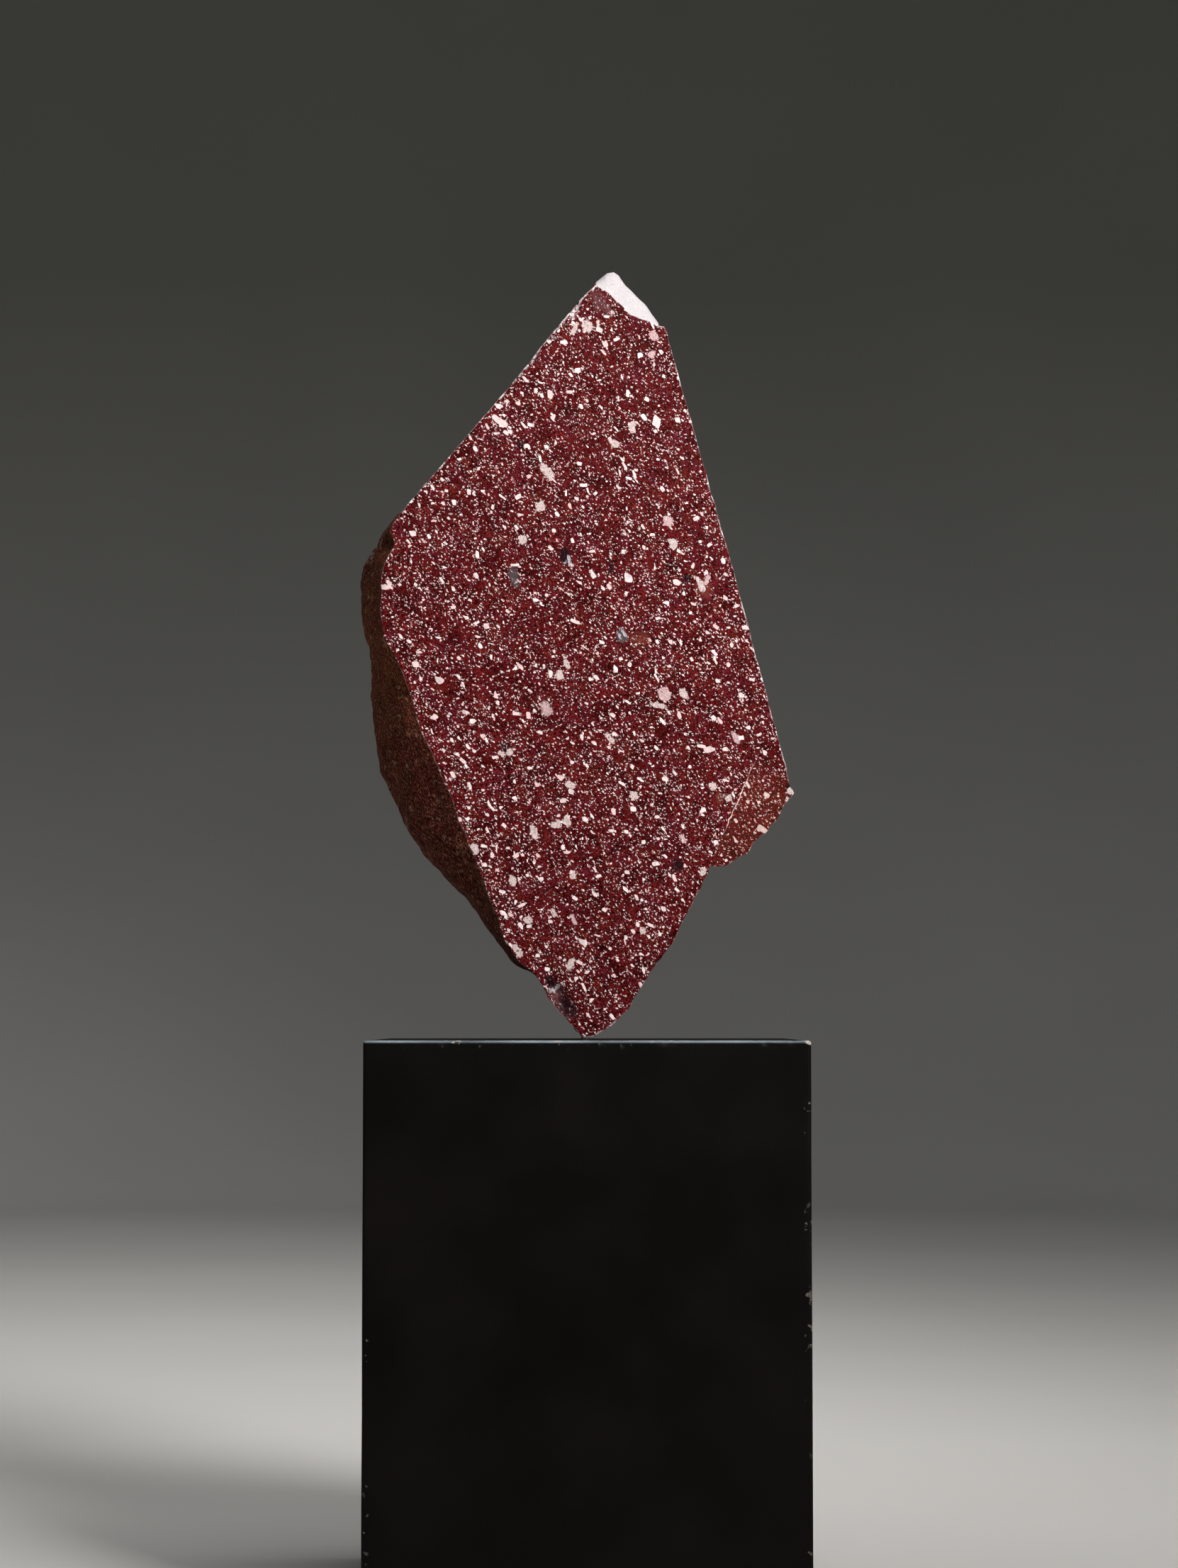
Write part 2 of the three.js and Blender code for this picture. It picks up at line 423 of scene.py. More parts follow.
@dataclass(frozen=True)
class Crystals:
    """One generation of crystals in the rock, scattered through space and each turned its own way.

    Space is cut into cells of the given spacing, each round a random point, and a share of the
    cells hold a crystal at their point. A crystal is a box with rounded corners, whose sides lie
    between those of a block and a lath. It is turned by up to half of spread to each side of lean,
    soft is the width of its edge, and its colour is scaled by paleness.
    """

    spacing: float
    share: float
    smallest: float
    largest: float
    paleness: float = 1.0
    soft: float = 0.15
    block: Triple = (0.8, 0.95, 1.15)
    lath: Triple = (0.48, 0.8, 1.85)
    roundness: float = 0.32
    lean: Triple = (0.0, 0.45, 0.0)
    spread: float = 2.2
    clustering: float = 0.25
    angle_shuffle: float = 17.3
    tint_shuffle: float = 7.0

    def mask(self, rock: Rock) -> tuple[Socket, Socket]:
        """Adds the nodes for this generation.

        A point's way from its cell's point is turned by the cell's random angles, and its parts are
        divided by the crystal's sides. The largest part, softened by the length of the whole, is
        the distance that is held against the crystal's half size.

        Args:
            rock: the material to add to.

        Returns:
            1 inside a crystal and 0 outside, and a random number for each crystal.
        """
        in_cells = rock.scaled(rock.flowing, 1.0 / self.spacing)
        inputs = {"Vector": in_cells, "Scale": 1.0, "Randomness": 1.0}
        cells = rock.node("ShaderNodeTexVoronoi", inputs)
        random = cells.outputs["Color"]
        chance, size, shape = rock.channels(random)
        low, high = self.share * (1 - self.clustering), self.share * (1 + self.clustering)
        held = rock.math("LESS_THAN", chance, rock.span(rock.clusters, *MOST, low, high))
        way = rock.vector("SUBTRACT", in_cells, cells.outputs["Position"])
        shuffled = rock.vector("FRACTION", rock.scaled(random, self.angle_shuffle))
        least = tuple(angle - self.spread / 2 for angle in self.lean)
        inputs = {
            "Vector": way,
            "Rotation": rock.vector("MULTIPLY_ADD", shuffled, (self.spread,) * 3, least),
        }
        turned = rock.node("ShaderNodeVectorRotate", inputs, rotation_type="EULER_XYZ").outputs[0]
        inputs = {0: shape, 4: self.block, 5: self.lath}
        sides = rock.node("ShaderNodeMix", inputs, data_type="VECTOR").outputs[1]
        positive = rock.vector("ABSOLUTE", rock.vector("DIVIDE", turned, sides))
        first, second, third = rock.parts(positive)
        largest = rock.math("MAXIMUM", rock.math("MAXIMUM", first, second), third)
        length = rock.vector("LENGTH", positive, result="Value")
        rounding = rock.math("SUBTRACT", length, largest)
        distance = rock.math("MULTIPLY_ADD", rounding, self.roundness, largest)
        sizes = (self.smallest / self.spacing, self.largest / self.spacing)
        inside = rock.math("SUBTRACT", rock.span(size, 0.0, 1.0, *sizes), distance)
        edge = self.soft / self.spacing
        filled = rock.times(rock.span(inside, -edge / 2, edge / 2), held)
        return filled, rock.math("FRACT", rock.times(size, self.tint_shuffle))


# The pale crystals, from the largest to the grains.
PHENOCRYSTS = (
    Crystals(8.6, 0.34, 0.8, 1.65, 0.85),
    Crystals(3.2, 0.62, 0.4, 0.92, 0.95),
    Crystals(1.12, 0.46, 0.15, 0.36, 0.94),
    Crystals(0.62, 0.4, 0.11, 0.23, 0.85),
)
DARK_BLOTCHES = Crystals(14.0, 0.3, 0.7, 1.5, soft=1.2)
DARK_SPECKS = Crystals(0.85, 0.75, 0.13, 0.3)


class Tone(Enum):
    """Colours of the large single crystals and patches on the face, the lowest layer first."""

    BRUISED = (0.17, 0.065, 0.07)
    DARK = (0.018, 0.006, 0.009)
    GREY = (0.095, 0.075, 0.08)
    BLUISH = (0.60, 0.57, 0.62)
    SALMON = (0.22, 0.05, 0.035)
    PINK = (0.72, 0.49, 0.49)
    CREAM = (0.78, 0.62, 0.59)


@dataclass(frozen=True)
class Inclusion:
    """One large crystal or patch, placed on the face.

    across and up are its place from the tip. lean turns its length from upright, in degrees, with
    its upper end to the left, and soft is the width of its edge.
    """

    across: float
    up: float
    half_width: float
    half_length: float
    lean: float = 0.0
    soft: float = 0.14

    def mask(self, finish: Finish, on_stone: Socket) -> Socket:
        """Adds the nodes for this crystal, an oval with squared-off ends.

        It reaches as far as x^3 + z^3 = 1, where x and z are the distances from its middle across
        and along it, each divided by its half size.

        Args:
            finish: the material to add to.
            on_stone: the place along the stone's own axes, in millimetres.

        Returns:
            1 inside the crystal and 0 outside.
        """
        width, length = self.half_width, self.half_length
        cos, sin = math.cos(math.radians(self.lean)), math.sin(math.radians(self.lean))
        way = finish.vector("SUBTRACT", on_stone, (self.across, 0.0, self.up))
        powers = []
        for axis in ((cos / width, 0.0, sin / width), (-sin / length, 0.0, cos / length)):
            distance = finish.math("ABSOLUTE", finish.along(way, axis))
            powers.append(finish.math("POWER", distance, 3.0))
        edge = 3.0 * self.soft / min(width, length)
        return finish.span(finish.math("ADD", *powers), 1.0 + edge, max(1.0 - edge, 0.0))


# Each row holds an Inclusion's numbers, from the top of the face down.
INCLUSIONS: dict[Tone, tuple[tuple[float, ...], ...]] = {
    Tone.BRUISED: (
        (4.4, 267.2, 1.7, 2.8, 25, 2.2), (7.6, 264.2, 0.9, 1.8, 40, 1.4),
        (-9.3, 14.2, 2.4, 6.6, 37, 1.2),
    ),
    Tone.DARK: (
        (-24.6, 213.6, 1.0, 1.3, 0, 0.8), (-8.0, 173.8, 1.9, 3.0, 25, 0.35),
        (8.6, 170.1, 0.9, 1.9, 0, 0.6), (36.7, 166.6, 1.7, 1.7, 0, 0.6),
        (11.3, 144.2, 0.8, 1.3, 0, 0.3), (-29.8, 104.4, 1.4, 1.6, 0, 0.8),
        (33.1, 62.4, 1.8, 1.8, 0, 1.6), (-7.4, 11.4, 1.8, 3.6, 37, 1.6),
        (-13.4, 20.3, 1.3, 1.7, 20, 1.2), (74.0, 91.1, 0.8, 0.9, 0, 0.3),
        (74.4, 86.9, 0.8, 0.8, 0, 0.3),
    ),
    Tone.GREY: (
        (-26.7, 165.8, 1.5, 3.2, 15, 0.8), (12.6, 145.2, 1.8, 2.5, 15, 0.3),
    ),
    Tone.BLUISH: (
        (-6.5, 172.6, 0.5, 1.7, 20), (-8.3, 171.4, 0.35, 0.9, -50), (13.5, 146.0, 0.45, 2.0, 38),
        (11.9, 145.6, 0.3, 1.5, 30), (-11.8, 17.7, 0.45, 1.9, -56, 0.3),
    ),
    Tone.SALMON: (
        (43.0, 163.0, 2.4, 2.8, 25, 1.6), (19.5, 144.4, 2.6, 1.6, 0, 1.4),
        (48.6, 86.9, 1.4, 1.6, 0, 0.8),
    ),
    Tone.PINK: (
        (24.6, 255.4, 1.6, 1.9, 20), (23.8, 248.4, 1.3, 1.4), (29.5, 187.4, 1.7, 1.9),
        (44.2, 166.4, 0.9, 1.8, -20), (28.2, 124.4, 2.1, 2.5, 20),
        (-15.0, 118.5, 1.7, 2.3, 30, 0.5), (54.6, 109.0, 0.8, 2.5, 30), (35.1, 72.0, 0.7, 1.9, 35),
        (-5.0, 42.8, 0.8, 2.1, 30),
    ),
    Tone.CREAM: (
        (-0.1, 258.0, 1.9, 2.3, 10), (-4.4, 257.0, 0.9, 2.2, -20), (4.2, 258.7, 0.7, 1.6, 10),
        (16.7, 221.6, 1.4, 2.1, 10), (10.3, 215.2, 1.5, 1.3), (-14.6, 204.3, 1.45, 3.6, 42),
        (-17.2, 191.8, 1.8, 1.8, 20), (31.4, 179.2, 1.5, 2.0, 25), (-23.6, 179.6, 1.6, 1.7),
        (-5.6, 170.6, 0.5, 0.8, 60), (41.6, 164.8, 1.2, 2.8, 28), (-7.5, 134.6, 0.9, 1.8, 22),
        (-10.2, 130.7, 1.4, 1.7), (26.1, 120.2, 0.9, 3.1, 82), (35.3, 124.6, 1.1, 2.1, 30),
        (8.3, 108.2, 0.9, 2.2, 45), (-31.2, 102.2, 0.9, 1.5, 60), (-28.2, 102.4, 0.9, 1.4, -30),
        (-6.0, 91.1, 1.1, 1.9, 75), (17.0, 87.6, 1.2, 1.7, 20), (52.1, 86.9, 0.9, 1.2, 5),
        (46.2, 91.0, 1.1, 1.3, 20), (-11.2, 76.8, 1.8, 1.6, 5), (-7.2, 77.9, 1.0, 1.9, 10),
        (-19.3, 73.9, 1.2, 2.4, 20), (-40.7, 67.9, 1.2, 1.8, 35), (42.3, 60.2, 1.0, 1.8, -30),
        (-5.1, 58.6, 1.1, 1.5, -10), (-27.2, 56.6, 1.1, 1.9, 10), (-21.5, 42.4, 1.3, 1.3, 15),
        (-12.2, 45.0, 0.9, 1.4, 15), (20.4, 38.8, 1.1, 1.4), (-25.4, 31.8, 1.2, 2.6, 35),
        (-5.8, 26.8, 1.0, 2.3, -25), (74.8, 89.6, 0.9, 1.2, 40), (73.2, 86.8, 0.7, 1.0, -30),
    ),
}


@dataclass(frozen=True)
class Scar:
    """A shallow flake scar at the face's right-hand corner, whose upper rim is a pale hairline.

    The rim is a straight line through start, towards end, and wavers a little. The scar sets in
    above starts_at and the hairline above line_starts_at, and both are gone at ends_at.
    """

    start: Pair = (44.3, 62.0)
    end: Pair = (61.2, 99.0)
    starts_at: float = 62.0
    line_starts_at: float = 72.0
    ends_at: float = 104.0
    setting_in: float = 6.0
    fading: float = 14.0
    waver: float = 0.9
    hairline: float = 0.17

    def masks(self, rock: Rock) -> tuple[Socket, Socket]:
        """Adds the scar's masks.

        Args:
            rock: the material to add to.

        Returns:
            1 inside the scar and 0 outside, and 1 on the hairline.
        """
        across, up = self.end[0] - self.start[0], self.end[1] - self.start[1]
        length = math.hypot(across, up)
        normal = (up / length, 0.0, -across / length)
        offset = -(self.start[0] * normal[0] + self.start[1] * normal[2])
        straight = rock.along(rock.on_stone, normal)
        bend = rock.math("SUBTRACT", rock.slow, 0.5)
        distance = rock.math("ADD", rock.math("MULTIPLY_ADD", bend, self.waver, straight), offset)
        height = rock.parts(rock.on_stone)[2]
        fade = rock.span(height, self.ends_at, self.ends_at - self.fading)
        started = rock.span(height, self.starts_at, self.starts_at + self.setting_in)
        present = rock.times(fade, started)
        inside = rock.times(rock.span(distance, 0.0, 0.5), present)
        away = rock.math("ABSOLUTE", distance)
        line = rock.span(away, self.hairline * 1.6, self.hairline * 0.6)
        seen = rock.span(height, self.line_starts_at, self.line_starts_at + self.setting_in)
        return inside, rock.times(rock.times(line, seen), present)


@dataclass(frozen=True)
class PorphyryFinish:
    """One of the stone's surfaces: the same rock all through, under a different finish.

    pale_and_sheen is how far everything is whitened, partly as crushed stone and partly as a
    painted sheen, and dull how far the crystals sink into the ground. With marked, the face's own
    crystals and its scar are added. The dust turns olive from one olive_height to the other, left
    of olive_edge, and thins out from one dust_thins to the other.
    """

    name: str
    roughness: float
    gloss: float
    grain_height: float
    dull: float
    pale_and_sheen: float
    marked: bool = False
    scar_depth: float = 6.0
    streak: Triple = (1.0, 1.0, 4.0)
    olive_height: Pair = (85.0, 140.0)
    olive_edge: Pair = (-24.0, -32.0)
    olive_stray: float = 60.0
    dust_thins: Pair = (160.0, 178.0)
    ground_dark: Colour = (0.042, 0.0010, 0.0013)
    ground_mid: Colour = (0.096, 0.0056, 0.0068)
    ground_warm: Colour = (0.096, 0.0090, 0.0064)
    ground_purple: Colour = (0.086, 0.0062, 0.0104)
    salt: Colour = (0.26, 0.105, 0.105)
    crystal_cream: Colour = (0.97, 0.80, 0.78)
    crystal_pink: Colour = (0.86, 0.56, 0.55)
    dark_mineral: Colour = (0.010, 0.0004, 0.0005)
    warm_crystal: Colour = (0.62, 0.37, 0.29)
    stain: Colour = (0.42, 0.235, 0.125)
    fleck: Colour = (0.36, 0.23, 0.105)
    dust: Colour = (0.130, 0.037, 0.023)
    olive_dust: Colour = (0.225, 0.078, 0.030)
    # Pale colour of the crushed bevel: partly real crushed stone, partly a painted sheen where the
    # bevel catches the light.
    crushed_and_lit: Colour = (0.53, 0.495, 0.50)
    # Nearly white colour of the crushed arrises: partly real crushed stone, partly a painted
    # highlight where the arrises catch the light.
    chipped_and_glint: Colour = (0.80, 0.72, 0.72)

    def ground(self, rock: Rock) -> Socket:
        """The ground between the crystals.

        It is clouded at three scales and speckled with salt, and dark minerals lie in it.

        Args:
            rock: the material to add to.

        Returns:
            The ground's colour.
        """
        clouds = rock.cloud(rock.exact, 7.0, detail=3.0)
        warm, purple, _ = rock.channels(rock.noises(rock.exact, 5.0, detail=3.0)[1])
        base = rock.blend(rock.span(clouds, *MOST), self.ground_dark, self.ground_mid)
        base = rock.blend(rock.span(warm, 0.5, 0.68), base, self.ground_warm)
        base = rock.blend(rock.span(purple, 0.5, 0.68), base, self.ground_purple)
        grain = rock.cloud(rock.exact, 0.55, rough=0.7)
        base = rock.scaled(base, rock.span(grain, 0.36, 0.64, 0.02, 1.95))
        finest = rock.cloud(rock.exact, 0.38, detail=1.0)
        base = rock.blend(rock.span(finest, 0.6, 0.84, 0.0, 0.55), base, self.salt)
        for minerals in (DARK_BLOTCHES, DARK_SPECKS):
            filled, _ = minerals.mask(rock)
            base = rock.blend(rock.times(filled, 0.9), base, self.dark_mineral)
        return base

    def crystals(self, rock: Rock) -> tuple[Socket, Socket]:
        """All generations of pale crystals together.

        Args:
            rock: the material to add to.

        Returns:
            Where a pale crystal is, and that crystal's colour.
        """
        mask, tint = PHENOCRYSTS[0].mask(rock)
        paleness: Socket | float = PHENOCRYSTS[0].paleness
        for generation in PHENOCRYSTS[1:]:
            filled, random = generation.mask(rock)
            newer = rock.math("GREATER_THAN", filled, mask)
            tint = rock.pick(newer, tint, random)
            paleness = rock.pick(newer, paleness, generation.paleness)
            mask = rock.math("MAXIMUM", mask, filled)
        cloud = rock.cloud(rock.flowing, 1.3)
        pinkness = rock.math("MULTIPLY_ADD", cloud, 0.8, rock.math("SUBTRACT", tint, 0.4))
        share = rock.span(pinkness, 0.55, 1.1)
        colour = rock.scaled(rock.blend(share, self.crystal_cream, self.crystal_pink), paleness)
        return mask, rock.scaled(colour, rock.span(cloud, 0.3, 0.6, 0.7, 1.05))

    def marks(self, rock: Rock, colour: Socket) -> Socket:
        """Adds the face's own crystals and patches, one tone after another.

        Args:
            rock: the material to add to.
            colour: the colour so far.

        Returns:
            The colour with them.
        """
        mottle = rock.cloud(rock.on_stone, 0.8, detail=3.0, rough=0.65)
        place = rock.stirred(rock.on_stone, rock.noises(rock.on_stone, 1.9, rough=0.6)[1], 2.6)
        for tone, rows in INCLUSIONS.items():
            together: Socket | float = 0.0
            for row in rows:
                together = rock.math("MAXIMUM", Inclusion(*row).mask(rock, place), together)
            broken = tone in (Tone.BRUISED, Tone.SALMON)
            share = rock.span(mottle, 0.6, 0.46) if broken else rock.span(mottle, 0.63, 0.55)
            dark = tuple(0.6 * part for part in tone.value)
            shade = rock.blend(rock.span(mottle, 0.42, 0.55), dark, tone.value)
            colour = rock.blend(rock.times(together, share), colour, shade)
        return colour

    def dirt(self, rock: Rock, colour: Socket, clean: Socket) -> Socket:
        """Adds the dirt of a dull side: dust, olive higher up on the left, and upright streaks.

        Args:
            rock: the material to add to.
            colour: the colour so far.
            clean: 1 where little of the dust lies.

        Returns:
            The colour with it.
        """
        soiled = rock.span(rock.clusters, *MOST, 0.35 * self.dull, 0.75 * self.dull)
        soiled = rock.times(soiled, rock.span(clean, 0.0, 1.0, 1.0, 0.2))
        across, _, up = rock.parts(rock.on_stone)
        strayed = rock.math("MULTIPLY_ADD", rock.clusters, self.olive_stray, across)
        olive = rock.times(rock.span(up, *self.olive_height), rock.span(strayed, *self.olive_edge))
        dust = rock.blend(olive, self.dust, self.olive_dust)
        dust = rock.scaled(dust, rock.span(up, *self.dust_thins, 1.0, 0.6))
        colour = rock.blend(soiled, colour, dust)
        streaks = rock.cloud(rock.within(rock.exact, Scale=self.streak), 0.4, rough=0.6)
        colour = rock.scaled(colour, rock.span(streaks, 0.34, 0.66, 0.1, 1.95))
        return rock.blend(rock.span(streaks, 0.6, 0.66, 0.0, self.dull), colour, self.fleck)

    def crushing_and_sheen(self, rock: Rock, colour: Socket) -> Socket:
        """Whitens a crushed side, except for its speckles. The pale colour is partly crushed stone
        and partly a painted sheen, standing in for the light that the bevel catches at a grazing
        angle.

        Args:
            rock: the material to add to.
            colour: the colour so far.

        Returns:
            The whitened colour.
        """
        share = rock.span(rock.fine, 0.36, 0.64, self.pale_and_sheen, self.pale_and_sheen - 0.2)
        specks = rock.cloud(rock.exact, 0.7, detail=1.0)
        share = rock.times(share, rock.span(specks, 0.72, 0.77, 1.0, 0.45))
        return rock.blend(share, colour, self.crushed_and_lit)

    def build(self, stone_place: np.ndarray, stone_turn: float) -> bpy.types.Material:
        """Makes the material.

        Args:
            stone_place: where the stone's axes start, in metres.
            stone_turn: how far they are turned.

        Returns:
            The finished material.
        """
        rock = Rock(self.name, stone_place, stone_turn)
        ground = self.ground(rock)
        mask, crystal = self.crystals(rock)
        clear: Socket | float = 1.0 - 0.5 * self.dull
        bumps = rock.math("MULTIPLY_ADD", rock.fine, 0.35, rock.coarse)
        if self.marked:
            inside, hairline = Scar().masks(rock)
            clear = rock.span(inside, 0.0, 1.0, clear, 0.9)
            ground = rock.blend(rock.times(inside, 0.07), ground, self.olive_dust)
            crystal = rock.blend(rock.times(inside, 0.4), crystal, self.warm_crystal)
        if self.dull > 0.0:
            clean = rock.times(rock.attribute("clean"), rock.span(rock.clusters, 0.36, 0.56))
            clear = rock.math("MULTIPLY_ADD", clean, 0.4 * self.dull, clear)
            crystal = rock.blend(rock.span(clean, 0.0, 1.0, self.dull, 0.0), crystal, self.stain)
        colour = rock.blend(rock.times(mask, clear), ground, crystal)
        if self.marked:
            broken = rock.span(rock.coarse, 0.42, 0.54, 0.2, 0.9)
            colour = self.marks(rock, colour)
            colour = rock.blend(rock.times(hairline, broken), colour, self.crystal_pink)
            bumps = rock.math("MULTIPLY_ADD", inside, -self.scar_depth, bumps)
        if self.dull > 0.0:
            colour = self.dirt(rock, colour, clean)
        # Painted sheen: the bevel is whitened nearly all over, partly as crushed stone and partly
        # standing in for the light it catches at a grazing angle.
        if self.pale_and_sheen > 0.0:
            colour = self.crushing_and_sheen(rock, colour)
        # Painted highlight along the arrises: the crushed strips are painted nearly white, partly
        # as crushed stone and partly for the light they catch.
        patchy = rock.span(rock.cloud(rock.exact, 1.3, detail=3.0, rough=0.65), 0.4, 0.56)
        arris_bruise_and_glint = rock.times(rock.attribute("bruise_and_glint"), patchy)
        rock.connect(
            Base_Color=rock.blend(arris_bruise_and_glint, colour, self.chipped_and_glint),
            Roughness=rock.span(rock.fine, 0.3, 0.7, self.roughness - 0.08, self.roughness + 0.08),
            Normal=rock.bump(bumps, self.grain_height),
        )
        rock.preset(Specular_IOR_Level=self.gloss)
        return rock.material


HONED_FACE = PorphyryFinish("porphyry honed face", 0.26, 0.03, 0.02, 0.0, 0.0, marked=True)
BROKEN_SIDE = PorphyryFinish("porphyry broken side", 0.85, 0.03, 0.7, 0.8, 0.0)
SAWN_SIDE = PorphyryFinish("porphyry sawn side", 0.6, 0.08, 0.12, 0.3, 0.0)
# The bevel's finish carries a painted sheen as well as its crushing.
BRUISED_BEVEL_WITH_SHEEN = PorphyryFinish("porphyry bruised bevel with painted sheen", 0.7, 0.05, 0.3, 0.2, 0.94)


# ---------------- The stone ----------------


class Side(Enum):
    """How a side of the slab was made. Its value is a material slot, and 0 is the face's."""

    BROKEN = 1
    SAWN = 2
    BEVEL = 3


@dataclass(frozen=True)
class Corner:
    """A corner of the slab's outline, as places across and up from the tip.

    It lies at face on the cut face and runs to back on the broken back, by way of its shoulder
    where the edge is bevelled. belly is how far the side swells out between the two, and side says
    how the side that runs on from here was made. ragged is the height of the notches in the outline
    there, and worn the width of its crushed arris, which is painted pale, partly as crushed stone
    and partly as a painted highlight where the arris catches the light.
    """

    side: Side
    face: Pair
    back: Pair
    belly: float = 0.0
    ragged: float = 0.35
    worn: float = 0.08
    shoulder: Pair | None = None


# Each row holds a Corner's values after its side. They run clockwise, as the face is seen.
STRETCHES: tuple[tuple[Side, tuple[tuple, ...]], ...] = (
    # The bevel at the top.
    (Side.BEVEL, (
        ((3.3, 273.3), (4, 268), 0, 0.15, 0.1, (5.2, 277)),
        ((8.4, 270.1), (9, 266), 0, 0.3, 0.1, (9.4, 280.4)),
        ((11, 267.3), (11.5, 264), 0, 0.3, 0.1, (11.6, 280.8)),
        ((13, 265.3), (13.5, 262.5), 0, 0.3, 0.1, (13.3, 279.4)),
        ((15.8, 262.9), (15.5, 260), 0, 0.3, 0.1, (16.2, 276.1)),
        ((21.6, 260.7), (20.5, 255), 0, 0.3, 0.1, (23.4, 269.2)),
    )),
    # The long sawn edge on the right.
    (Side.SAWN, (
        ((26.3, 258.8), (24.5, 250), 0, 0.15, 0.2, (28.4, 262.4)),
        ((28.3, 258.7), (26, 248), 0, 0.15, 0.25), ((29.6, 256.3), (27.5, 246), 0, 0.12, 0.25),
        ((30.1, 253.4), (28, 242), 0, 0.12, 0.28), ((54.1, 168.8), (51, 165), 0, 0.12, 0.28),
        ((72.8, 99.5), (69, 100), 0, 0.2, 0.28),
    )),
    # The broken corner at the lower right, down to the notch.
    (Side.BROKEN, (
        ((74.7, 91), (71, 93), 0, 0.3, 0.5), ((75.6, 89), (71.5, 91.5), 0, 0.3, 0.5),
        ((74, 86.2), (70, 90), 0, 0.45), ((70.2, 80.2), (65.5, 85), 0, 0.4),
        ((65.4, 74), (61, 79), 0, 0.4), ((61.6, 71.2), (58, 76.5), 0, 0.4),
        ((58.6, 67), (55, 73), 0, 0.45), ((50.2, 62), (47.5, 68.5)),
        ((44.8, 62.5), (42.5, 66), 0, 0.3),
    )),
    # The broken edge from the notch down to the tip.
    (Side.BROKEN, (
        ((41.3, 54), (39, 58)), ((34, 40.1), (33, 46)), ((30.7, 34), (31, 39.5)),
        ((22.8, 23.3), (25, 29.5)), ((14.9, 10.4), (20, 18), 0, 0.4, 0.3),
        ((9.8, 5.4), (16, 13), 0, 0.35, 0.4), ((1.5, 0.65), (10, 7.5), 0, 0.1, 0.2),
        ((-1.5, 0.4), (6.6, 7), 1, 0.1, 0.2),
    )),
    # The broken edge from the tip up to the left.
    (Side.BROKEN, (
        ((-9.6, 9.4), (-1.5, 15), 1, 0.4), ((-14, 15.2), (-5.5, 20), 1, 0.3),
        ((-17.5, 22), (-9, 26.5), 2, 0.4), ((-25.8, 29), (-16.5, 33.5), 3, 0.4),
    )),
    # The swelling broken side on the left.
    (Side.BROKEN, (
        ((-29, 33.5), (-20, 39), 3.2), ((-34.2, 46.9), (-30, 52), 6),
        ((-36.2, 52.3), (-33, 57), 7), ((-37.6, 56.5), (-35.5, 60.5), 9),
        ((-41.3, 65.9), (-41, 69), 12.3), ((-47.7, 82.3), (-50, 86), 15.6),
        ((-56.7, 102.6), (-60, 104), 14.8), ((-60.5, 110.1), (-63.5, 112), 12),
        ((-63.1, 120.3), (-65, 122), 10.6), ((-68.2, 134.2), (-66, 136), 7.8),
        ((-73.5, 143.8), (-67.5, 146), 4.8), ((-74.9, 151), (-68.5, 153), 5.3),
        ((-74.7, 160.2), (-69, 162), 6.4, 0.45), ((-73.7, 170), (-68, 171), 7, 0.45),
        ((-69.7, 176.8), (-65.5, 177), 6.7, 0.5), ((-71.2, 181.2), (-64.2, 180.6), 4, 0.4),
        ((-70.5, 184.2), (-63, 183), 3.5, 0.3, 0.15), ((-66.7, 189.4), (-60, 187.5), 3, 0.2, 0.25),
    )),
    # The long sawn edge at the upper left.
    (Side.SAWN, (
        ((-61.4, 196), (-57.5, 192), 1, 0.15, 0.35), ((-43.2, 217.5), (-41, 213), 0, 0.15, 0.5),
        ((-23.6, 241.1), (-21.5, 236), 0, 0.2, 0.9), ((-13.4, 254.4), (-11.5, 249), 0, 0.25, 2.1),
        ((-2.4, 267.7), (-0.5, 262.5), 0, 0.25, 1.6),
    )),
)
CORNERS = tuple(Corner(side, *row) for side, rows in STRETCHES for row in rows)


@dataclass(frozen=True)
class Hollow:
    """A shallow bowl in the face: an oval, sunk by depth * (1 - r^2), where r is 1 on its rim."""

    place: Pair
    size: Pair
    lean: float
    depth: float

    def sink(self, places: np.ndarray) -> np.ndarray:
        """How deep the bowl is at some places.

        Args:
            places: places across and up from the tip, shaped (places, 2).

        Returns:
            Depths in millimetres, 0 outside the bowl.
        """
        cos, sin = math.cos(math.radians(self.lean)), math.sin(math.radians(self.lean))
        right, above = (places - self.place).T
        wide = (right * cos + above * sin) / self.size[0]
        long = (-right * sin + above * cos) / self.size[1]
        return self.depth * np.clip(1.0 - wide**2 - long**2, 0.0, None)


@dataclass
class Outline:
    """The corners' values carried round the whole outline, one row for each of its points."""

    face: np.ndarray
    shoulder: np.ndarray
    back: np.ndarray
    belly: np.ndarray
    worn: np.ndarray
    side: np.ndarray
    outward: np.ndarray


Ring = tuple[float, np.ndarray]  # how far it is behind the arris, and its points


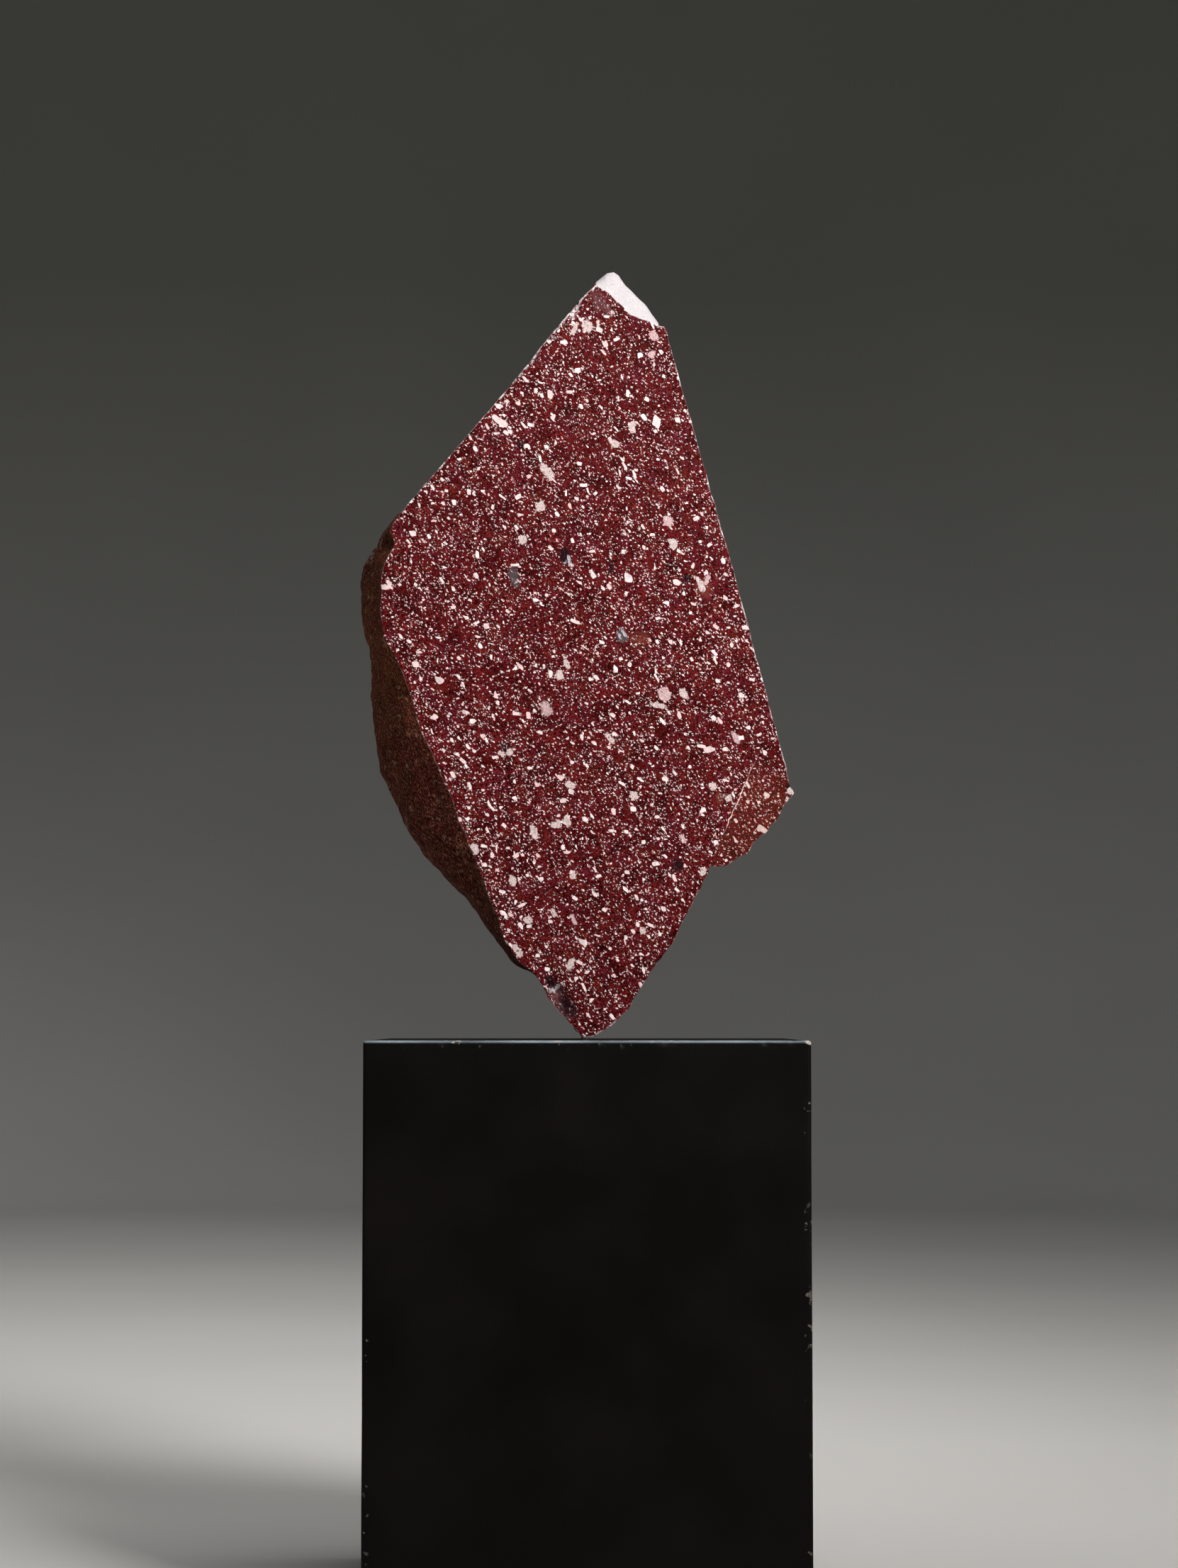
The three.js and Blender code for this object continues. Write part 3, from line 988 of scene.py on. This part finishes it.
@dataclass
class Fragment:
    """The stone: a slab with a honed face, sawn and broken sides, and a broken back.

    Its surface is a row of rings, from the middle of the face over the arris, the sides and the rim
    of the back to the middle of the back. Their points are places across, back and up, and reach is
    how far each ring is behind the arris, negative on the face. The broken and sawn relief is full
    at rough_from behind the arris, and between the two depths of back_from it turns into the
    back's. Past broken_from the finish is the broken one. The arris is worn by the first share of
    bite_wear, and a full bite adds the second. clean_up and clean_back bound the clean patch: it
    sets in between the first two and ends between the last two.
    """

    place: np.ndarray
    turn: float = math.radians(9.0)
    shoulder_depth: float = 12.0
    back_depth: float = 62.0
    back_slope: Pair = (0.08, 0.04)
    back_steepness: float = 0.36
    heart: Pair = (0.0, 150.0)
    point_spacing: float = 1.15
    face_step: float = 1.3
    face_band: Pair = (26.0, 2.0)
    face_shares: Pair = (0.06, 0.94)
    arris_insets: tuple[float, ...] = (1.9, 1.4, 0.95, 0.6, 0.3, 0.0)
    bevel_depths: tuple[float, ...] = (0.35, 0.8, 1.4, 2.2, 3.4, 4.8, 6.2, 7.6, 9.0, 10.4)
    face_ring_count: int = 13
    side_ring_count: int = 40
    back_ring_count: int = 42
    last_share: float = 0.03
    arris_fall: float = 0.5
    least_worn: float = 0.05
    crushed_reach: float = 1.3
    plainly_worn: float = 0.45
    crushed_depth: float = 4.0
    rough_from: float = 7.0
    back_from: Pair = (55.0, 66.0)
    broken_from: float = 64.0
    beyond: float = 100.0
    full_belly: float = 3.0
    cut_in: float = 1.8
    clean_up: tuple[float, ...] = (154.0, 174.0, 186.0, 200.0)
    clean_back: tuple[float, ...] = (6.0, 20.0, 24.0, 50.0)
    back_facets: tuple[Triple, ...] = (
        (9.0, 0.10, 0.03), (9.5, -0.12, 0.02), (10.0, 0.02, -0.13), (8.5, -0.03, 0.12),
        (7.5, 0.07, -0.08),
    )
    notches: tuple[Ripple, ...] = (Ripple(5.5, 1.0, 11), Ripple(2.9, 0.8, 12), Ripple(1.6, 0.5, 13))
    shoulder_notching: float = 0.7
    bites: tuple[Ripple, ...] = (Ripple(4.5, 1.0, 31), Ripple(2.1, 0.7, 32))
    bites_above: float = -0.1
    bite_wear: Pair = (0.4, 1.6)
    broken: tuple[Ripple, ...] = (
        Ripple(30, 1.3, 1), Ripple(14, 0.8, 2), Ripple(7, 0.5, 3), Ripple(3.4, 0.3, 4),
        Ripple(1.9, 0.15, 5),
    )
    sawn: tuple[Ripple, ...] = (Ripple(22, 0.2, 6), Ripple(5, 0.1, 7), Ripple(2.2, 0.07, 8))
    scoop: Hollow = Hollow((-9.6, 14.4), (3.8, 8.2), 37.0, 2.6)

    def __post_init__(self) -> None:
        """Works out the outline, and the rings without their relief."""
        self.outline = self.carried_outline()
        surface = [*self.face_rings(), *self.side_rings(), *self.back_rings()]
        self.reach = np.array([reach for reach, _ in surface])
        self.rings = np.array([points for _, points in surface])

    def rim_depth(self, places: np.ndarray) -> np.ndarray:
        """The depth of the back's rim at places across and up, on the back's sloping plane."""
        return self.back_depth + places @ np.array(self.back_slope)

    def carried_outline(self) -> Outline:
        """Carries the corners' places round the whole outline.

        Each stretch between two corners gets points at an even spacing, and every value on it is a
        straight blend between its two corners'. Notches are then cut into the outline: it moves
        straight out or in by a ripple, times how ragged it is there.

        Returns:
            The outline's rows.
        """
        faces = np.array([corner.face for corner in CORNERS], dtype=float)
        backs = np.array([corner.back for corner in CORNERS], dtype=float)
        plain = faces + (backs - faces) * (self.shoulder_depth / self.rim_depth(backs))[:, None]
        shoulders = [corner.shoulder or tuple(point) for corner, point in zip(CORNERS, plain)]
        table = np.column_stack([faces, shoulders, backs, [corner.belly for corner in CORNERS]])
        following = np.roll(table, -1, axis=0)
        lengths = np.linalg.norm(following[:, :2] - faces, axis=1)
        counts = np.maximum(np.round(lengths / self.point_spacing).astype(int), 2)
        stretch = np.repeat(np.arange(len(CORNERS)), counts)
        share = np.concatenate([np.arange(count) / count for count in counts])[:, None]
        rows = table[stretch] + (following - table)[stretch] * share
        face, shoulder, back, belly = np.split(rows, [2, 4, 6], axis=1)
        along = np.roll(face, -2, axis=0) - np.roll(face, 2, axis=0)
        outward = np.stack([-along[:, 1], along[:, 0]], axis=-1)
        outward /= np.linalg.norm(outward, axis=-1, keepdims=True)
        ragged = self.even(np.array([corner.ragged for corner in CORNERS])[stretch])
        worn = self.even(np.array([corner.worn for corner in CORNERS])[stretch])
        edge = self.points(face, np.zeros(len(face)))
        notched = outward * (relief(edge, self.notches) * ragged)[:, None]
        bitten = np.clip(relief(edge, self.bites) - self.bites_above, 0.0, 1.0)
        return Outline(
            face=face + notched,
            shoulder=shoulder + self.shoulder_notching * notched,
            back=back,
            belly=belly[:, 0],
            worn=worn * (self.bite_wear[0] + self.bite_wear[1] * bitten),
            side=np.array([corner.side.value for corner in CORNERS])[stretch],
            outward=outward,
        )

    @staticmethod
    def even(values: np.ndarray, reach: int = 4) -> np.ndarray:
        """Evens out values round the closed outline over a few neighbouring points."""
        weights = np.hanning(2 * reach + 3)[1:-1]
        padded = np.concatenate([values[-reach:], values, values[:reach]])
        return np.convolve(padded, weights / weights.sum(), "valid")

    @staticmethod
    def points(places: np.ndarray, depth: np.ndarray) -> np.ndarray:
        """Joins places across and up with their depths."""
        return np.column_stack([places[:, 0], depth, places[:, 1]])

    def face_rings(self) -> list[Ring]:
        """Rings of the face: the outline, drawn in towards the heart, by less and less.

        The steps are short near the arris. Where that is crushed, the face falls away by a share of
        the distance from the inner limit of the crushed strip.

        Returns:
            The rings.
        """
        outline = self.outline
        towards = np.array(self.heart) - outline.face
        length = np.linalg.norm(towards, axis=1)
        rest = length - self.face_band[0] - self.face_step
        shares = np.linspace(*self.face_shares, self.face_ring_count)
        band = np.arange(*self.face_band, -self.face_step)
        insets = [*(length - share * rest for share in shares), *band, *self.arris_insets]
        rings = []
        for inset in insets:
            places = outline.face + towards * (inset / length)[:, None]
            fall = self.arris_fall * np.clip(outline.worn - inset, 0.0, None)
            points = self.points(places, fall + self.scoop.sink(places))
            rings.append((-float(np.mean(inset)), points))
        return rings

    def side_rings(self) -> list[Ring]:
        """Rings of the side, from the arris to the back's rim.

        A point runs in a straight line from face to shoulder to rim, and swells out by
        belly * 4t(1 - t), where t is the share of the rim's depth. Where the arris is crushed, the
        first rings start as deep as its strip is.

        Returns:
            The rings.
        """
        outline = self.outline
        rim = self.rim_depth(outline.back)
        level = np.ones(len(rim))
        fading = (self.crushed_depth, self.shoulder_depth)
        steps = []
        for depth in [*self.bevel_depths, self.shoulder_depth]:
            share = depth / self.shoulder_depth
            places = outline.face + (outline.shoulder - outline.face) * share
            steps.append((places, depth * level))
        for share in np.linspace(0.0, 1.0, self.side_ring_count)[1:]:
            places = outline.shoulder + (outline.back - outline.shoulder) * share
            steps.append((places, self.shoulder_depth + (rim - self.shoulder_depth) * share))
        rings = []
        for places, depth in steps:
            t = depth / rim
            places = places + outline.outward * (outline.belly * 4 * t * (1 - t))[:, None]
            near, above = (np.clip(1.0 - depth / full, 0.0, None) for full in fading)
            deeper = depth + self.arris_fall * outline.worn * near + self.scoop.sink(places) * above
            rings.append((float(depth.mean()), self.points(places, deeper)))
        return rings

    def back_rings(self) -> list[Ring]:
        """Rings of the back: the rim, drawn in towards the heart.

        The back rises above its rim's plane by the least of several tilted planes, and no more
        steeply than back_steepness, so that it is faceted like broken stone.

        Returns:
            The rings, with a distance beyond all of the side's.
        """
        heart, back = np.array(self.heart), self.outline.back
        rim = self.rim_depth(back)
        length = np.linalg.norm(back - heart, axis=1)
        rings = []
        for share in np.linspace(1.0, self.last_share, self.back_ring_count)[1:]:
            places = heart + (back - heart) * share
            away = places - heart
            facets = [rise + away @ np.array(slope) for rise, *slope in self.back_facets]
            rise = np.minimum(np.min(facets, axis=0), self.back_steepness * (1 - share) * length)
            depth = self.rim_depth(places) * (1 - share) + rim * share + np.clip(rise, 0.0, None)
            rings.append((self.beyond, self.points(places, depth)))
        return rings

    def roughened(self) -> np.ndarray:
        """Adds the relief of the broken and sawn surfaces, which sets in behind the arris.

        Where a broken side has no belly its relief is all cut inwards, so that it stays behind the
        face's outline.

        Returns:
            The rings' points, moved straight out or in.
        """
        rings, reach = self.rings, self.reach
        broken = self.even((self.outline.side == Side.BROKEN.value).astype(float))
        behind = smooth_step(reach, *self.back_from)[:, None]
        rough = np.maximum(broken, behind)
        belly = np.clip(self.outline.belly / self.full_belly, 0.0, 1.0)
        flat = broken * (1 - behind) * (1 - belly)
        height = rough * relief(rings, self.broken) + (1 - rough) * relief(rings, self.sawn)
        height = (height - self.cut_in * flat) * smooth_step(reach, 0.0, self.rough_from)[:, None]
        return rings + grid_normals(rings) * height[..., None]

    def to_world(self, points: np.ndarray) -> np.ndarray:
        """Turns places in the stone's axes into metres in the frame."""
        across, back, up = np.moveaxis(points, -1, 0)
        cos, sin = math.cos(self.turn), math.sin(self.turn)
        turned = np.stack([across * cos - back * sin, across * sin + back * cos, up], axis=-1)
        return turned * MM + self.place

    def build(self) -> bpy.types.Object:
        """Makes the stone.

        Returns:
            The dressed object.
        """
        rings = self.roughened()
        middle = np.array([self.heart[0], 0.0, self.heart[1]])
        poles = self.to_world(np.array([middle, rings[-1].mean(axis=0)]))
        body = RingBody(self.to_world(rings), *poles)
        stone = body.build("porphyry_stone")
        body.mark(stone, "bruise_and_glint", self.bruise_and_glint())
        body.mark(stone, "clean", self.clean_patch())
        for finish in (HONED_FACE, BROKEN_SIDE, SAWN_SIDE, BRUISED_BEVEL_WITH_SHEEN):
            stone.data.materials.append(finish.build(self.place, self.turn))
        stone.data.polygons.foreach_set("material_index", self.slots())
        return stone

    def bruise_and_glint(self) -> np.ndarray:
        """Where the arris is crushed and painted pale, partly as crushed stone and partly as a
        painted
        highlight where it catches the light: within its worn width, and less where that is small.

        Returns:
            1 where it is crushed and painted pale, and 0 elsewhere, shaped (rings, points).
        """
        worn = self.outline.worn
        strip = np.abs(self.reach)[:, None] / np.maximum(worn, self.least_worn)
        crushed_and_lit = np.clip(self.crushed_reach - strip, 0.0, 1.0)
        return crushed_and_lit * np.clip(worn / self.plainly_worn, 0.0, 1.0)

    def clean_patch(self) -> np.ndarray:
        """Where fresher stone shows on the left side, below the sawn edge.

        Returns:
            1 in the patch and 0 outside, shaped (rings, points).
        """
        across, up = self.outline.face.T
        there, deep = (
            smooth_step(values, bounds[0], bounds[1]) * smooth_step(values, bounds[3], bounds[2])
            for values, bounds in ((up, self.clean_up), (self.reach, self.clean_back))
        )
        return deep[:, None] * there * (across < 0.0)

    def slots(self) -> np.ndarray:
        """Which finish each face of the mesh has.

        Returns:
            Material slots: first those of the quads, ring by ring, and then those of the end fans.
        """
        side, behind = self.outline.side, self.reach[:-1, None]
        slot = np.where(behind < 0.0, 0, side)
        past_bevel = (slot == Side.BEVEL.value) & (behind >= self.shoulder_depth)
        slot = np.where(past_bevel, Side.SAWN.value, slot)
        slot = np.where(behind >= self.broken_from, Side.BROKEN.value, slot)
        return np.concatenate([slot.ravel(), np.repeat([0, Side.BROKEN.value], len(side))])


# ---------------- The display block and the pin ----------------


@dataclass(frozen=True)
class BlackPaint:
    """Satin black paint on wood, worn through at the edges; its top rim has a painted highlight."""

    black: Colour = (0.0030, 0.0020, 0.0018)
    dusty: Colour = (0.0050, 0.0036, 0.0032)
    # Pale bluish painted highlight for the top rim, standing in for the gloss that its rounded edge
    # catches.
    painted_rim_highlight: Colour = (0.27, 0.32, 0.345)
    wood: Colour = (0.46, 0.41, 0.35)

    def build(self) -> bpy.types.Material:
        """Makes the material.

        Returns:
            The finished material.
        """
        finish = Finish("black paint on wood")
        place = finish.millimetres()
        cloud = finish.cloud(place, 40.0, detail=4.0)
        colour = finish.blend(finish.span(cloud, 0.4, 0.7), self.black, self.dusty)
        # Painted highlight: a pale line along the top rim, broken up by a noise, where the rounded
        # edge would catch the light.
        sheen = finish.span(finish.cloud(place, 34.0, detail=3.0), 0.35, 0.6, 0.4, 1.0)
        colour = finish.blend(finish.times(finish.attribute("rim"), sheen), colour, self.painted_rim_highlight)
        wear = finish.attribute("wear")
        chips = finish.span(finish.cloud(place, 2.6, detail=3.0, rough=0.6), 0.6, 0.66)
        patches = finish.span(finish.cloud(place, 24.0), 0.52, 0.62)
        bare = finish.times(finish.times(chips, patches), wear)
        bare = finish.math("MAXIMUM", bare, finish.span(wear, 1.2, 1.7))
        finish.connect(
            Base_Color=finish.blend(bare, colour, self.wood),
            Roughness=finish.span(cloud, 0.3, 0.7, 0.38, 0.5),
            Normal=finish.bump(finish.cloud(place, 0.6, detail=3.0), 0.03),
        )
        finish.preset(Specular_IOR_Level=0.1)
        return finish.material


@dataclass(frozen=True)
class PinSteel:
    """Plain drawn steel, with fine lines along the rod."""

    colour: Colour = (0.32, 0.32, 0.33)

    def build(self) -> bpy.types.Material:
        """Makes the material.

        Returns:
            The finished material.
        """
        finish = Finish("drawn steel")
        inputs = {"Vector": finish.millimetres(), "Scale": (1.0, 1.0, 0.05)}
        lines = finish.cloud(finish.node("ShaderNodeMapping", inputs).outputs[0], 0.3)
        shade = finish.blend(lines, tuple(0.7 * part for part in self.colour), self.colour)
        finish.connect(Base_Color=shade, Roughness=finish.span(lines, 0.3, 0.7, 0.25, 0.4))
        finish.preset(Metallic=1.0)
        return finish.material


@dataclass
class DisplayBlock:
    """The square wooden block, with rounded and slightly worn edges.

    low and high are its corners in the frame, in metres. rim_wear and foot_wear are how far the
    wear of its upper and lower edges reaches, and upright_edge that of its upright ones, while
    foot_share and upright_share are how strong it is there. The painted highlight along the top rim
    fades out down the sides over rim_down and across the top over rim_across. knock_size is the
    reach of the largest chip, at the right-hand front corner of its top.
    """

    low: np.ndarray
    high: np.ndarray
    edge_radius: float = 1.0
    arc_points: int = 6
    side_spacing: float = 0.9
    lid_insets: tuple[float, ...] = (70.0, 50, 30, 18, 10, 6, 4, 3, 2.2, 1.6)
    wall_steps: tuple[float, ...] = (0.5, 1.0, 1.6, 2.4, 3.4, 5, 8, 12, 20, 40, 70)
    rim_wear: float = 0.6
    rim_down: Pair = (1.0, 0.5)
    rim_across: Pair = (1.6, 0.95)
    foot_wear: float = 1.5
    foot_share: float = 0.6
    upright_edge: float = 2.0
    upright_share: float = 0.5
    knock_size: float = 2.6
    bite_depth: float = 0.7
    bites_above: float = 0.45
    bites: tuple[Ripple, ...] = (Ripple(3.1, 1.0, 21), Ripple(1.4, 0.5, 22))

    def __post_init__(self) -> None:
        """Works out the block's half width and height, and its rings' insets and heights."""
        width, _, self.top = (self.high - self.low) / MM
        self.half = width / 2
        self.inset, self.height = self.profile().T[..., None]

    def plan(self) -> tuple[np.ndarray, np.ndarray]:
        """The block's outline seen from above, as a square with quarter circles at its corners.

        A quarter circle and the straight side that follows it are repeated at right angles.

        Returns:
            Points, clockwise from above in millimetres round the middle, and directions outwards.
        """
        flat = self.half - self.edge_radius
        straight = int(round(2 * flat / self.side_spacing))
        angles = np.linspace(math.pi / 2, 0, self.arc_points)
        arc = np.column_stack([np.cos(angles), np.sin(angles)])
        normals = np.concatenate([arc, np.tile(arc[-1], (straight - 1, 1))])
        drop = np.concatenate([np.zeros(len(arc)), 2 * flat * np.arange(1, straight) / straight])
        points = normals * self.edge_radius + flat
        points[:, 1] -= drop
        turns = [np.array([[c, -s], [s, c]]) for c, s in ((1, 0), (0, 1), (-1, 0), (0, -1))]
        quarter = (points, normals)
        return tuple(np.concatenate([rows @ turn for turn in turns]) for rows in quarter)

    def profile(self) -> np.ndarray:
        """Steps inwards and heights of the rings, from the middle of the top to that of the base.

        Returns:
            Pairs of inset and height in millimetres. Both rims are quarter circles.
        """
        angles = np.linspace(math.pi / 2, 0, self.arc_points)
        rim = self.edge_radius * (1 - np.column_stack([np.cos(angles), np.sin(angles)]))
        lid = np.column_stack([self.lid_insets, np.zeros(len(self.lid_insets))])
        steps = self.edge_radius + np.array(self.wall_steps)
        wall = np.column_stack([np.zeros(len(steps)), steps])
        upper = np.concatenate([lid, rim, wall])
        lower = upper[::-1].copy()
        upper[:, 1] = self.top - upper[:, 1]
        return np.concatenate([upper, [[0.0, self.top / 2]], lower])

    def wear(self, rings: np.ndarray, outline: np.ndarray) -> np.ndarray:
        """How far the paint is worn: along the rims, at the upright edges and round the knock.

        Args:
            rings: the block's points, shaped (rings, points, 3).
            outline: its outline seen from above.

        Returns:
            Wear from 0 to about 2, shaped (rings, points).
        """
        inset, height = self.inset, self.height
        from_edge = np.maximum(np.maximum(inset, self.top - height) - self.edge_radius, 0.0)
        foot = self.foot_share * np.exp(-np.maximum(height, inset) / self.foot_wear)
        rims = np.maximum(np.exp(-from_edge / self.rim_wear), foot)
        upright = np.abs(outline).min(axis=1) > self.half - self.upright_edge
        upright = upright * (inset <= self.edge_radius)
        knock = np.array([self.half, -self.half, self.top])
        away = np.linalg.norm(rings - knock, axis=-1)
        knocked = smooth_step(away, self.knock_size, 0.5 * self.knock_size)
        return np.maximum(rims, self.upright_share * upright) + knocked

    def build(self) -> bpy.types.Object:
        """Makes the block: each ring is the outline, drawn in by the profile's inset.

        Returns:
            The dressed object.
        """
        outline, normals = self.plan()
        inset, from_top = self.inset[..., None], self.top - self.height
        shrink = 1.0 - np.maximum(inset - self.edge_radius, 0.0) / self.half
        drawn = outline * shrink - normals * np.minimum(inset, self.edge_radius)
        heights = np.broadcast_to(self.height[..., None], (*drawn.shape[:2], 1))
        rings = np.concatenate([drawn, heights], axis=-1)
        wear = self.wear(rings, outline)
        # The share of the painted highlight along the top rim, which the mesh carries as rim.
        rim = smooth_step(from_top, *self.rim_down) * smooth_step(self.inset, *self.rim_across)
        bitten = np.clip(relief(rings, self.bites) - self.bites_above, 0, 1)
        rings = rings - grid_normals(rings) * (bitten * wear * self.bite_depth)[..., None]
        middle = (self.low + self.high) / 2
        base = np.array([middle[0], middle[1], self.low[2]])
        poles = np.array([[0, 0, self.top], [0, 0, 0]])
        body = RingBody(rings * MM + base, *(poles * MM + base))
        block = body.build("painted_block")
        body.mark(block, "wear", wear)
        body.mark(block, "rim", np.tile(rim, len(outline)))
        block.data.materials.append(BlackPaint().build())
        return block


# ---------------- The studio ----------------


@dataclass
class Studio:
    """A pale floor that sweeps up into a plain backdrop all round, soft lights and the camera.

    Its lengths are metres. The camera stands camera_distance from the block's front, and its focal
    length is focal_share times the longer side of the picture.
    """

    target: Vector
    floor_start: float = 0.02
    floor_radius: float = 2.6
    sweep_radius: float = 1.2
    wall_top: float = 3.2
    floor_rings: int = 11
    curve_rings: int = 24
    around: int = 128
    near_colour: Colour = (0.62, 0.60, 0.57)
    far_colour: Colour = (0.30, 0.295, 0.265)
    sky_colour: tuple[float, ...] = (0.9, 0.95, 1.0, 1.0)
    sky_strength: float = 0.14
    focal_share: float = 2.2151899
    sensor: float = 36.0
    camera_aside: float = 0.00065
    camera_distance: float = 1.204
    camera_rise: float = 0.0068
    camera_tilt: float = 3.9

    def sweep(self) -> bpy.types.Object:
        """The floor and wall: a profile of floor, quarter circle and wall, carried round a circle.

        Returns:
            The staged object.
        """
        angles = np.linspace(0, math.pi / 2, self.curve_rings)
        curve = np.column_stack([
            self.floor_radius + self.sweep_radius * np.sin(angles),
            self.sweep_radius * (1 - np.cos(angles)),
        ])
        wall = [[curve[-1, 0], self.wall_top]]
        flat = np.linspace(self.floor_start, self.floor_radius, self.floor_rings, endpoint=False)
        floor = np.column_stack([flat, np.zeros(self.floor_rings)])
        profile = np.concatenate([floor, curve, wall])[:, None]
        turn = np.linspace(0, 2 * math.pi, self.around, endpoint=False)
        circle = np.column_stack([np.cos(turn), np.sin(turn)])
        heights = np.broadcast_to(profile[..., 1:], (len(profile), self.around, 1))
        rings = np.concatenate([profile[..., :1] * circle, heights], axis=-1)
        points = np.concatenate([rings.reshape(-1, 3), [[0, 0, 0]]])
        quads = ring_quads(len(profile), self.around)[:, ::-1]
        middle = fan(len(points) - 1, np.arange(self.around))
        piece = new_piece("studio_sweep", points, quads, middle)
        piece.data.materials.append(self.backdrop())
        return piece

    def backdrop(self) -> bpy.types.Material:
        """The floor's and wall's matt paint, darker higher up.

        Returns:
            The finished material.
        """
        finish = Finish("pale backdrop")
        place = finish.node("ShaderNodeTexCoord", {}).outputs["Object"]
        height = finish.parts(place)[2]
        colour = finish.blend(finish.span(height, 0.02, 1.3), self.near_colour, self.far_colour)
        grain = finish.span(finish.cloud(place, 0.4), 0.3, 0.7, 0.97, 1.03)
        finish.connect(Base_Color=finish.scaled(colour, grain))
        finish.preset(Roughness=0.9, Specular_IOR_Level=0.1)
        return finish.material

    def softbox(
        self, name: str, place: Triple, size: float, watts: float,
        aside: Triple = (0.0, 0.0, 0.0), spread: float = 180.0,
    ) -> bpy.types.Object:
        """Adds a square area light that faces the target.

        Args:
            name: the light's name.
            place: where it hangs.
            size: its side.
            watts: its power.
            aside: how far beside the target it is aimed.
            spread: the angle that its honeycomb lets through, in degrees.

        Returns:
            The light.
        """
        light = bpy.data.lights.new(name, "AREA")
        light.size = size
        light.energy = watts
        light.spread = math.radians(spread)
        lamp = bpy.data.objects.new(name, light)
        lamp.location = place
        aim = self.target + Vector(aside) - Vector(place)
        lamp.rotation_euler = aim.to_track_quat("-Z", "Y").to_euler()
        lamp.visible_camera = False
        bpy.context.scene.collection.objects.link(lamp)
        return lamp

    def light(self) -> None:
        """Hangs the lights and sets the soft light that comes from all round."""
        self.softbox("key", (0.95, -1.2, 1.3), 0.7, 4.15, aside=(0.2, 0.0, 0.26), spread=40.0)
        self.softbox("top", (0.3, -0.1, 2.2), 0.9, 16.0)
        self.softbox("fill", (-1.2, -2.0, 1.0), 1.2, 2.0)
        world = bpy.data.worlds.new("studio")
        world.use_nodes = True
        background = world.node_tree.nodes["Background"]
        background.inputs["Color"].default_value = self.sky_colour
        background.inputs["Strength"].default_value = self.sky_strength
        bpy.context.scene.world = world
        bpy.context.scene.view_settings.view_transform = "Standard"

    def camera(self, block_top: float, front: float) -> bpy.types.Object:
        """Sets up the camera, a little above the block's top and looking up a little.

        Args:
            block_top: the height of the block's top in metres.
            front: where the block's front is, in metres.

        Returns:
            The camera.
        """
        lens = bpy.data.cameras.new("camera")
        lens.sensor_width = self.sensor
        lens.lens = self.sensor * self.focal_share
        lens.clip_start = 0.05
        lens.clip_end = 30.0
        camera = bpy.data.objects.new("camera", lens)
        place = (self.camera_aside, front - self.camera_distance, block_top + self.camera_rise)
        camera.location = place
        camera.rotation_euler = (math.radians(90 + self.camera_tilt), 0, 0)
        bpy.context.scene.collection.objects.link(camera)
        bpy.context.scene.camera = camera
        return camera


def main() -> None:
    """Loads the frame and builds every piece."""
    logging.basicConfig(level=logging.INFO, format="%(name)s: %(message)s")
    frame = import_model()
    low, high = (np.array(corner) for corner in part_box("display_block"))
    middle = (low + high) / 2

    stone_place = np.array([middle[0], middle[1] - STONE_FORWARD * MM, high[2] + STONE_GAP * MM])
    stone = Fragment(stone_place).build()
    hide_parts("porphyry_fragment")
    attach(stone, "root")
    log.info("stone: %d faces", len(stone.data.polygons))

    block = DisplayBlock(low, high).build()
    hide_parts("display_block")
    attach(block, "root")
    log.info("block: %d faces", len(block.data.polygons))

    pin = frame["nodes"]["mounting_pin"]
    pin.data.materials.clear()
    pin.data.materials.append(PinSteel().build())
    log.info("pin: dressed")

    studio = Studio(Vector((0.0, 0.0, float(high[2]) + STONE_MIDDLE * MM)))
    studio.sweep()
    studio.light()
    studio.camera(float(high[2]), float(low[1]))


if __name__ == "__main__":
    main()
